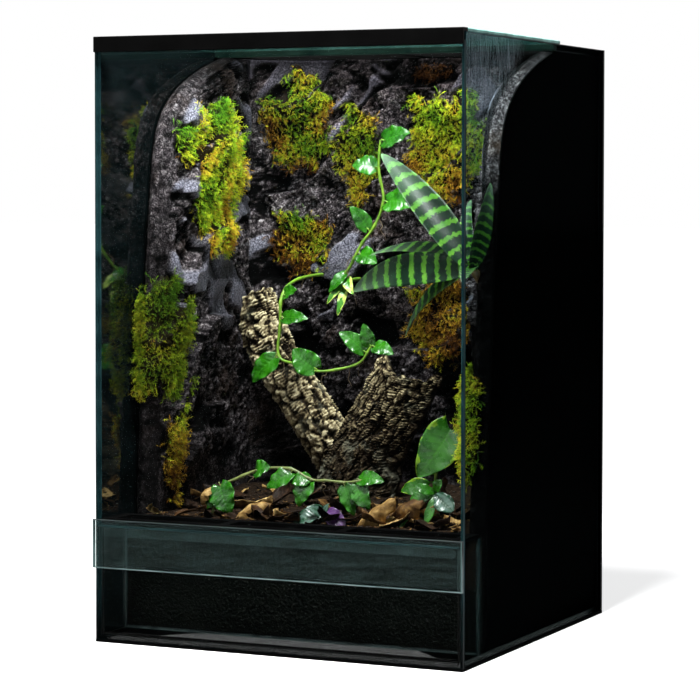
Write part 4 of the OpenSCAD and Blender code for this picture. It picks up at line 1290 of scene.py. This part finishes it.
def vein_level(count=7.5, slant=1.4):
    """1 on the midrib and side veins, falling to 0 between them."""
    out = abs(mark("across"))
    side = ping_pong(mark("along") * count - out * slant, 0.5)
    return larger(ramp(side, (0.0, 0.75), (0.09, 0.0)), ramp(out, (0.0, 1), (0.09, 0)))


def leaf_finish(name, dark, mid, vein, shine=0.22, patches=None, patch_from=(0.53, 0.58),
                edge=0.12, stripe=None):
    """A waxy leaf: mottled green, veins in their own colour, and a clean shine. Patches
    is a second colour for variegated leaves, patch_from how much of it shows and edge
    how much it keeps to the rim. Stripe colours a band halfway out on each half."""
    new_finish(name)
    tone = ramp(noise(60, 4), (0.3, dark), (0.7, mid))
    if patches:
        blotch = noise(55, 4, 0.6) + abs(mark("across")) * edge
        tone = blend(ramp(blotch, (patch_from[0], 0), (patch_from[1], 1)), tone, patches)
    if stripe:
        band = ramp(abs(mark("across")), (0.12, 0), (0.24, 0.9), (0.6, 0.9), (0.74, 0))
        tone = blend(band, tone, stripe)
    skin = bumped(vein_level() * -0.6 + noise(260, 3), 0.3, 0.0006)
    rough = ramp(noise(120, 3), (0.35, shine), (0.7, shine + 0.12))
    return solid(blend(vein_level() * 0.32, tone, vein), rough, skin, 0.4)


def stem_finish(name, dark, pale):
    new_finish(name)
    return solid(ramp(noise(90, 4), (0.3, dark), (0.7, pale)), 0.5,
                 bumped(noise(600, 3), 0.4, 0.0004))


def band_finish():
    """The zebra bromeliad: near-black green with jagged bright crossbands that thin out
    towards the cup, and a frosted tip."""
    new_finish("bromeliad_leaf")
    along, out = mark("along"), abs(mark("across"))
    wander = (noise(260, 3, 0.7) - 0.5) * 0.07
    apart = along**0.75 + (wander + out * out * 0.035)
    band = ramp(ping_pong(apart * 10.5, 0.5), (0.3, 0), (0.37, 1))
    mottle = noise(70, 4)
    ground = ramp(mottle, (0.3, (0.0012, 0.006, 0.003)), (0.7, (0.005, 0.022, 0.009)))
    pale = ramp(mottle, (0.3, (0.025, 0.12, 0.007)), (0.7, (0.085, 0.22, 0.024)))
    frost = ramp(along + wander, (0.5, 0), (0.82, 0.2), (1.0, 0.5))
    return solid(blend(frost, blend(band, ground, pale), (0.17, 0.25, 0.17)), 0.38,
                 bumped(noise(800, 3), 0.4, 0.0004), 0.1)


vine_leaf = leaf_finish("vine_leaf", (0.004, 0.04, 0.002), (0.022, 0.155, 0.003),
                        (0.05, 0.26, 0.01))
broad_leaf = leaf_finish("broad_leaf", (0.006, 0.065, 0.002), (0.024, 0.15, 0.004),
                         (0.06, 0.26, 0.006), 0.24, (0.17, 0.32, 0.01), (0.98, 1.04), 0.5)
mottled_leaf = leaf_finish("mottled_leaf", (0.01, 0.09, 0.003), (0.04, 0.2, 0.006),
                           (0.12, 0.34, 0.03), 0.26, (0.36, 0.46, 0.08), (0.55, 0.6))
silver_leaf = leaf_finish("silver_leaf", (0.004, 0.022, 0.012), (0.014, 0.055, 0.026),
                          (0.06, 0.14, 0.08), 0.26, stripe=(0.06, 0.11, 0.085))
purple_leaf = leaf_finish("purple_leaf", (0.02, 0.006, 0.03), (0.075, 0.022, 0.115),
                          (0.3, 0.2, 0.4), 0.26, stripe=(0.06, 0.016, 0.09))
green_stem = stem_finish("green_stem", (0.06, 0.16, 0.008), (0.2, 0.34, 0.02))
brown_stem = stem_finish("brown_stem", (0.05, 0.07, 0.015), (0.17, 0.2, 0.05))
root_finish = stem_finish("pale_root", (0.1, 0.06, 0.03), (0.3, 0.22, 0.12))
brown_sheath = stem_finish("brown_sheath", (0.03, 0.012, 0.003), (0.14, 0.07, 0.015))
bromeliad_leaf = band_finish()
print("leaf finishes ready")

# %% [markdown]
# ## Vines
# Three climbing vines of one kind cross the wall, the cork and the ground. Each is a
# stem through a few points with heart-shaped leaves. Thin pale roots grow from the
# joints and hold on to whatever is behind.

# %% The vines
VINES = {
    # vine: (stem points, leaves, thick and thin end, seed, stem finish, numbers of the
    # mottled leaves, root every so many steps, how far roots hang); a leaf is its base,
    # tip, width and arch
    "upper_vine": (
        [(-80, 420, 402), (-68, 330, 404), (-50, 313, 425), (-36, 310, 448), (-19, 310, 470),
         (-8, 310, 500), (-14, 310, 536), (-12, 310, 572)],
        [((-12, 310, 570), (30, 304, 580), 25, 4), ((-15, 310, 538), (-47, 306, 542), 22, 3),
         ((-8, 310, 498), (36, 302, 492), 27, 4), ((-26, 310, 462), (-49, 304, 492), 17, 2),
         ((-42, 311, 436), (-12, 300, 424), 20, 3), ((-60, 318, 414), (-78, 306, 388), 13, 3),
         ((-62, 320, 408), (-46, 306, 386), 11, 3), ((-62, 318, 396), (-66, 304, 360), 9, 4),
         ((-64, 318, 400), (-80, 304, 374), 8, 3)],
        (2.1, 1.5), 3, green_stem, (6, 7, 8), 8, 34),
    "middle_vine": (
        [(-118, 420, 408), (-119, 330, 406), (-121, 285, 398), (-124, 268, 380),
         (-124, 266, 350), (-126, 266, 312), (-99, 262, 303), (-70, 258, 296), (-39, 262, 300),
         (-18, 266, 308), (-4, 268, 328)],
        [((-123, 271, 384), (-100, 262, 392), 16, 2), ((-124, 266, 358), (-84, 260, 358), 17, 4),
         ((-126, 266, 314), (-160, 262, 280), 22, 3), ((-70, 258, 296), (-101, 254, 322), 26, 3),
         ((-10, 267, 318), (-44, 262, 343), 18, 3), ((-5, 268, 325), (-12, 262, 354), 15, 2),
         ((-4, 268, 327), (27, 262, 318), 16, 3)],
        (2.1, 1.4), 21, green_stem, (), 11, 26),
    "ground_vine": (
        [(-128, 92, 110), (-126, 95, 138), (-121, 100, 168), (-98, 106, 182), (-69, 110, 193),
         (-34, 110, 195), (-7, 110, 184), (14, 108, 184), (36, 108, 183), (56, 108, 186),
         (76, 110, 192)],
        [((-120, 100, 176), (-101, 95, 142), 27, 3), ((-78, 109, 190), (-56, 104, 196), 19, 3),
         ((-28, 110, 193), (-60, 104, 172), 20, 4), ((-7, 110, 184), (-20, 104, 153), 20, 4),
         ((-7, 110, 184), (-34, 106, 182), 15, 2), ((34, 108, 183), (50, 104, 146), 17, 3),
         ((50, 108, 185), (70, 102, 155), 20, 3), ((50, 109, 186), (86, 105, 186), 16, 3),
         ((-122, 98, 160), (-132, 92, 146), 13, 2)],
        (1.9, 1.3), 44, brown_stem, (), 12, 24),
}


def roots_from(path, step, reach, seed):
    """Thin roots that leave a stem every so often and wander down and back."""
    rng = np.random.default_rng(seed)
    found = []
    for k in range(3, len(path) - 2, step):
        steps = np.cumsum(rng.normal(0, 1, (6, 3)) * (2.4, 1.0, 1.6)
                          + (rng.normal(0, 1.5), 1.3, -reach / 7), axis=0)
        points = np.concatenate([[path[k]], path[k] + steps])
        found.append(stem_shell(points, 0.5, 0.22, count=22, around=5))
    return found


def grown(name, node, parts, finishes):
    """A plant in one piece, from rows of a shell, its marks and its finish number. A
    stem has no marks: it counts as the rim of a leaf."""
    shell = joined([shell for shell, _, _ in parts])
    marks = np.concatenate([np.tile([0, 1], (len(points), 1)) if marks is None else marks
                            for (points, _), marks, _ in parts])
    rows = np.concatenate([np.full(len(tiles), number) for (_, tiles), _, number in parts])
    shell[0][:, 0] = shell[0][:, 0].clip(max=IN_W - 0.3)  # blades stop at the pane
    piece(name, node, shell, finishes, finish_rows=rows,
          marks={"along": marks[:, 0], "across": marks[:, 1]})


for node, (stem, leaves, ends, seed, stem_colour, mottled, root_step, root_reach) in VINES.items():
    parts = [(stem_shell(stem, *ends, 0.5), None, 1)]
    for k, (base, tip, width, arch) in enumerate(leaves):
        base, tip = np.array(base, float), np.array(tip, float)
        start = base + 0.1 * (tip - base)
        steep = abs(tip[2] - base[2]) > 22 and tip[2] < base[2]
        facing = (0.15 * math.sin(k), -1, 0.35) if steep else (0.2 * math.cos(k), -1, 0.6)
        leaf = leaf_shell(start, tip, width * 1.22, arch, facing, lobe=0.5, wave=0.05,
                          point=0.36, seed=seed + k, vein=0.03)
        parts.append((*leaf, 3 if k in mottled else 0))
        stalk = [base, (base + start) / 2 + (0, -1, 1.5), start + 0.06 * (tip - base)]
        parts.append((stem_shell(stalk, 0.9, 0.7, count=12, around=7), None, 1))
    path = smooth_path(stem, 10 * len(stem))
    parts += [(root, None, 2) for root in roots_from(path, root_step, root_reach, seed)]
    grown(node + "_plant", node, parts,
          [vine_leaf, stem_colour, root_finish, mottled_leaf])

# %% [markdown]
# ## Ground plants
# Three rooted plants: a broad heart leaf with a small one behind it, a silver rosette
# with a few purple leaves, and a small plant with narrow leaves.

# %% Broad, silver and small leaves
HEART = {"facing": (0.3, -1, 0.35), "lobe": 0.9, "point": 0.34, "rows": 46, "columns": 21,
         "vein": 0.015, "wave": 0.03}
UPRIGHT = {"lobe": 0.2, "point": 0.5, "wave": 0.04, "facing": (0, -1, 0.8)}
NARROW = {"lobe": 0.2, "wave": 0.05, "facing": (0.2, -1, 0.5)}
GROUND_PLANTS = {
    # plant: (slot, stems, leaves, finishes); a stem is its points, thick and thin end; a
    # leaf is its base, tip, width, arch, finish number and kind; stems take the last finish
    "broad_leaf_plant": (
        "vine_leaf",
        [([(126, 158, 110), (126, 156, 150), (129, 153, 200), (134, 150, 246)], 2.2, 1.7),
         ([(124, 160, 110), (116, 164, 150), (112, 166, 176)], 2.0, 1.5)],
        [((147, 150, 244), (112, 138, 190), 48, 6, 0, HEART),
         ((112, 166, 174), (82, 160, 170), 22, 4, 0, HEART | {"rows": 30, "columns": 15})],
        [broad_leaf, green_stem]),
    "silver_leaf_plant": (
        "silver_leaf",
        [([(14, 100, 122), (13, 98, 132), (10, 94, 141)], 2.6, 1.2)],
        [((18, 92, 150), (-18, 80, 133), 24, 5, 0, UPRIGHT),
         ((16, 96, 142), (2, 78, 156), 15, 5, 0, UPRIGHT),
         ((18, 92, 152), (50, 80, 134), 19, 4, 1, UPRIGHT),
         ((14, 100, 136), (24, 92, 160), 13, 5, 0, UPRIGHT),
         ((14, 100, 130), (34, 84, 138), 14, 5, 1, UPRIGHT)],
        [silver_leaf, purple_leaf, brown_stem]),
    "small_leaf_plant": (
        "vine_leaf",
        [([(146, 122, 128), (146, 120, 150), (143, 116, 168)], 1.6, 1.1)],
        [((146, 112, 176), tip, width, 3, finish, NARROW) for tip, width, finish in (
            ((118, 104, 168), 15, 0), ((172, 100, 158), 22, 1), ((158, 100, 192), 13, 0),
            ((140, 96, 142), 11, 0), ((112, 84, 134), 7, 0), ((126, 100, 184), 12, 0))],
        [vine_leaf, silver_leaf, brown_stem]),
}
for node, (slot, stems, leaves, finishes) in GROUND_PLANTS.items():
    parts = [(stem_shell(*stem, 0.3), None, len(finishes) - 1) for stem in stems]
    for k, (*shape, finish, kind) in enumerate(leaves):
        parts.append((*leaf_shell(*shape, seed=k + 5, **kind), finish))
    grown(node, node, parts, finishes)

# %% [markdown]
# ## Banded bromeliad
# A rosette wedged on the right wing. Its leaves are stiff straps that arch out of one
# cup, with small teeth on the rim and pale bands across.

# %% The bromeliad
UP, OUT, RIGHT = (0.05, -0.7, 0.8), (0.1, -1, 0.2), (1, -0.5, 0.2)
STRAPS = [
    # reach in x, y and z, width, arch, facing
    ((-136, 62, 128), 36, 12, UP), ((-172, 66, -28), 36, 14, OUT), ((-164, 92, 12), 22, 10, UP),
    ((-96, 40, -76), 25, 10, UP), ((13, 22, 95), 24, 6, RIGHT), ((5, -38, -12), 20, 6, UP),
    ((-24, 56, 76), 16, 8, UP), ((-44, 22, 24), 14, 8, UP)]
CUP_AT = np.array([200.7, float(wing_edge(np.array(425.0))) - 22, 425.0])
rosette = [(*leaf_shell(CUP_AT + (0, 0, 0.5), CUP_AT + reach, width, arch, facing, cup=0.35,
                        point=0.42, teeth=0.04, rows=70, columns=15, seed=k * 0.4, vein=0.0,
                        thick=0.9, foot=0.5), 0)
           for k, (reach, width, arch, facing) in enumerate(STRAPS)]
foot = [CUP_AT + (2, 30, -14), CUP_AT + (1, 14, -6), CUP_AT + (0, 2, 2)]
rosette.append((stem_shell(foot, 6, 4, count=20, around=20), None, 1))
grown("banded_bromeliad", "striped_bromeliad", rosette,
      [bromeliad_leaf, brown_sheath])

# %% [markdown]
# ## Leaf litter
# Dry leaves lie on the soil in every direction. Each is a cupped, wrinkled blade that
# rests at its own tilt. A few big ones are listed one by one; the rest are scattered, most
# of them near the front, with crumbs of bark and thin twigs between.


# %% Dry leaves, crumbs and twigs
PLACED_LEAVES = [
    # x, y, length, turn in degrees, curl
    (-136, 128, 46, 20, 9), (-84, 142, 60, 75, 12), (-55, 92, 52, -30, 8),
    (-20, 112, 56, 40, 10), (-8, 160, 48, 110, 9), (-70, 190, 50, 10, 8),
    (-130, 170, 44, 60, 7), (82, 92, 66, 24, 16), (108, 128, 60, -35, 14),
    (60, 160, 50, 80, 9), (150, 105, 48, 150, 9), (20, 215, 52, -15, 9)]


def dry_leaf(x, y, length, turn, curl, seed):
    """A blade of the given length from x, y towards turn degrees. Curl is how far its
    sides rise, and it twists and ripples by its seed."""
    rng = np.random.default_rng(seed)
    t, s = blade_grid(20, 11)
    broad = np.sin(np.pi * np.power(t, 0.8)) ** 0.75 * (1 - 0.35 * t)
    half = length * rng.uniform(0.2, 0.29) * np.maximum(broad / broad.max(), 0.03)
    half = half * (1 + 0.1 * np.sin(t * 31 + seed) * np.abs(s) ** 3)
    tilt, roll = rng.uniform(-0.12, 0.35), rng.uniform(-0.35, 0.35)
    twist = rng.uniform(-0.9, 0.9)
    ribs = 0.5 * np.cos(2 * np.pi * (t * 7 - np.abs(s) * 1.3)) * (1 - s * s)
    lift = (curl * 0.55 * (s * s * (0.4 + t) + 0.5 * (t - 0.5) ** 2) + twist * half * s * (t - 0.4)
            + roll * half * s + ribs + 1.2 * np.sin(t * 9 + seed) * s)
    angle = np.radians(turn) + 0.35 * np.sin(seed) * (t - 0.3)
    ahead = t * length
    px = x + ahead * np.cos(angle) - s * half * np.sin(angle)
    py = y + ahead * np.sin(angle) + s * half * np.cos(angle)
    px, py = np.clip(px, -196, 196), np.maximum(py, 64.5)
    pz = soil_z(x, y) + 2.2 + tilt * ahead + lift
    front = packed(px, py, np.maximum(pz, soil_z(px, py) - 3))
    return (*blade(front - (0, 0, 0.45), front, t, s), rng.uniform(0, 1))


def litter_leaves(scattered=84):
    """The placed leaves, then the scattered ones, each with its marks and its hue."""
    rng = np.random.default_rng(12)
    rows = [(*row, k) for k, row in enumerate(PLACED_LEAVES)]
    for k in range(scattered):
        x, y = rng.uniform(-185, 185), 66 + 200 * rng.uniform(0, 1) ** 1.5
        rows.append((x, y, rng.uniform(20, 46), rng.uniform(0, 360), rng.uniform(3, 12), 40 + k))
    return [dry_leaf(*row) for row in rows]


def scattered_bits(count, seed, size):
    """Small chips: two rings of six points and two poles, squashed and bent by noise,
    their copies placed in one array."""
    rng = np.random.default_rng(seed)
    turn = once_round(6)
    points, tiles = tube_shell(np.array([packed(np.cos(turn) * r, np.sin(turn) * r, h)
                                         for h, r in ((-0.5, 0.7), (0.4, 0.8))]))
    points[-2:] += [(0, 0, -0.35), (0, 0, 0.35)]
    scale = rng.uniform(0.4, 1, (count, 1, 3)) * (size, size * 0.7, size * 0.45)
    shapes = points[None] * scale * (1 + 0.35 * rng.normal(0, 1, (count, len(points), 1)))
    spin, lean = rng.uniform(0, 2 * np.pi, (count, 1)), rng.uniform(-0.7, 0.7, (count, 1))
    sx, sz = turned(shapes[..., 0], shapes[..., 2], lean)
    px, py = turned(sx, shapes[..., 1], spin)
    x = rng.uniform(-190, 190, (count, 1))
    y = 66.5 + 230 * rng.uniform(0, 1, (count, 1)) ** 1.6
    where = packed(x + px, np.maximum(y + py, 64), soil_z(x, y) + 1.6 + sz)
    return copied(where, tiles), np.repeat(rng.uniform(0, 1, count), len(points))


def twigs(count, seed):
    """Thin sticks of five points that lie on the soil."""
    rng = np.random.default_rng(seed)
    found = []
    for _ in range(count):
        x, y, turn = rng.uniform(-150, 150), rng.uniform(75, 230), rng.uniform(0, 6.3)
        steps = np.linspace(-0.5, 0.5, 5) * rng.uniform(25, 60)
        px = np.clip(x + steps * np.cos(turn), -190, 190)
        py = np.maximum(y + steps * np.sin(turn), 66)
        pz = soil_z(px, py) + 3 + 2 * rng.normal(0, 1, 5)
        found.append(stem_shell(packed(px, py, pz), 1.1, 0.5, 0.2, 24, 7))
    return joined(found)


# %% Finish of the litter
def litter_finish():
    """Each leaf has its own brown by the mark hue; midrib and veins are darker lines,
    and the blade is blotched and dull."""
    new_finish("dry_leaves")
    mottle = noise(90, 5, 0.65)
    tone = ramp(mark("hue") + (mottle - 0.5) * 0.9, (0.0, (0.005, 0.0025, 0.001)),
                (0.36, (0.01, 0.004, 0.0015)), (0.6, (0.045, 0.02, 0.006)),
                (0.82, (0.2, 0.115, 0.035)), (1.0, (0.52, 0.35, 0.14)))
    return solid(blend(vein_level() * 0.45, tone, (0.06, 0.025, 0.01)), 0.62,
                 bumped(mottle + noise(500, 3), 0.5, 0.0007), 0.1)


def standing_leaf(base, tip, width, hue, seed):
    """A big curled leaf that stands off the ground, as a blade with its sides rolled."""
    return (*leaf_shell(base, tip, width, 7, (-0.4, -0.9, 0.5), cup=-0.9, point=0.55, wave=0.12,
                        rows=34, columns=15, thick=0.5, seed=seed, vein=0.03), hue)


dry_leaves = litter_finish()
leaves = litter_leaves() + [
    standing_leaf((62, 78, 134), (110, 84, 172), 25, 0.78, 1),
    standing_leaf((98, 94, 148), (138, 96, 168), 26, 0.62, 4),
    standing_leaf((-88, 78, 136), (-48, 92, 156), 24, 0.8, 2),
    standing_leaf((-138, 92, 150), (-128, 96, 171), 13, 0.85, 3),
    standing_leaf((126, 150, 146), (140, 150, 190), 18, 0.4, 6)]
chips, chip_hue = scattered_bits(900, 4, 3.4)
sticks = twigs(22, 8)
bare = (0, len(chips[0]) + len(sticks[0]))
litter_marks = np.concatenate([marks for _, marks, _ in leaves])
piece("leaf_litter_layer", "leaf_litter",
      joined([shell for shell, _, _ in leaves] + [chips, sticks]), dry_leaves,
      marks={"along": np.pad(litter_marks[:, 0], bare),
             "across": np.pad(litter_marks[:, 1], bare, constant_values=1),
             "hue": np.concatenate([np.full(len(marks), hue) for _, marks, hue in leaves]
                                   + [chip_hue * 0.8, np.full(len(sticks[0]), 0.25)])})

# %% [markdown]
# ## Vent screens
# Insect mesh is woven: each wire goes over one crossing wire and under the next. A wire
# is a three-sided rod with one station at each crossing, raised or lowered there, and
# all wires of one direction are made in one array.


# %% Woven mesh
def wires(length, count, pitch, first, along_x, mid, rise=0.3, radius=0.27):
    """Count parallel wires of a length. Every second crossing is up by rise, and
    neighbouring wires take turns."""
    stations = int(length / pitch) + 1
    j, k = np.arange(stations), np.arange(count)
    angle = np.radians([90, 210, 330])
    weave = rise * np.where((j[None] + k[:, None]) % 2, 1, -1) * (1 if along_x else -1)
    run = (j * length / (stations - 1))[None, :, None]
    side = (k * pitch)[:, None, None] + radius * np.cos(angle)
    up = mid + weave[..., None] + radius * np.sin(angle)
    grid = (packed(run + first[0], side[..., ::-1] + first[1], up[..., ::-1]) if along_x
            else packed(side + first[0], run + first[1], up))
    tiles = tube_shell(grid[0])[1]
    ends = np.stack([grid[:, 0].mean(1), grid[:, -1].mean(1)], 1)
    points = np.concatenate([grid.reshape(count, -1, 3), ends], 1)
    return copied(points, tiles if along_x else tiles[:, ::-1])


def woven_screen(name, node, low, high, level, pitch=2.5):
    wide, deep = high[0] - low[0], high[1] - low[1]
    along_x = wires(wide, int(deep / pitch), pitch, (low[0], low[1] + pitch / 2), True, level)
    along_y = wires(deep, int(wide / pitch), pitch, (low[0] + pitch / 2, low[1]), False, level)
    piece(name, node, joined([along_x, along_y]), steel_mesh, smooth=False)


steel_mesh = dark_finish("vent_screen", 0.002, 0.007, 0.5, 1500, 0.2, 0.0)
woven_screen("rear_vent_mesh", "rear_vent_screen", (-219.7, 290), (219.7, 434.7), 675.4)
woven_screen("front_vent_mesh", "front_vent_screen", (-219.7, 5.3), (219.7, 62), 135.4)
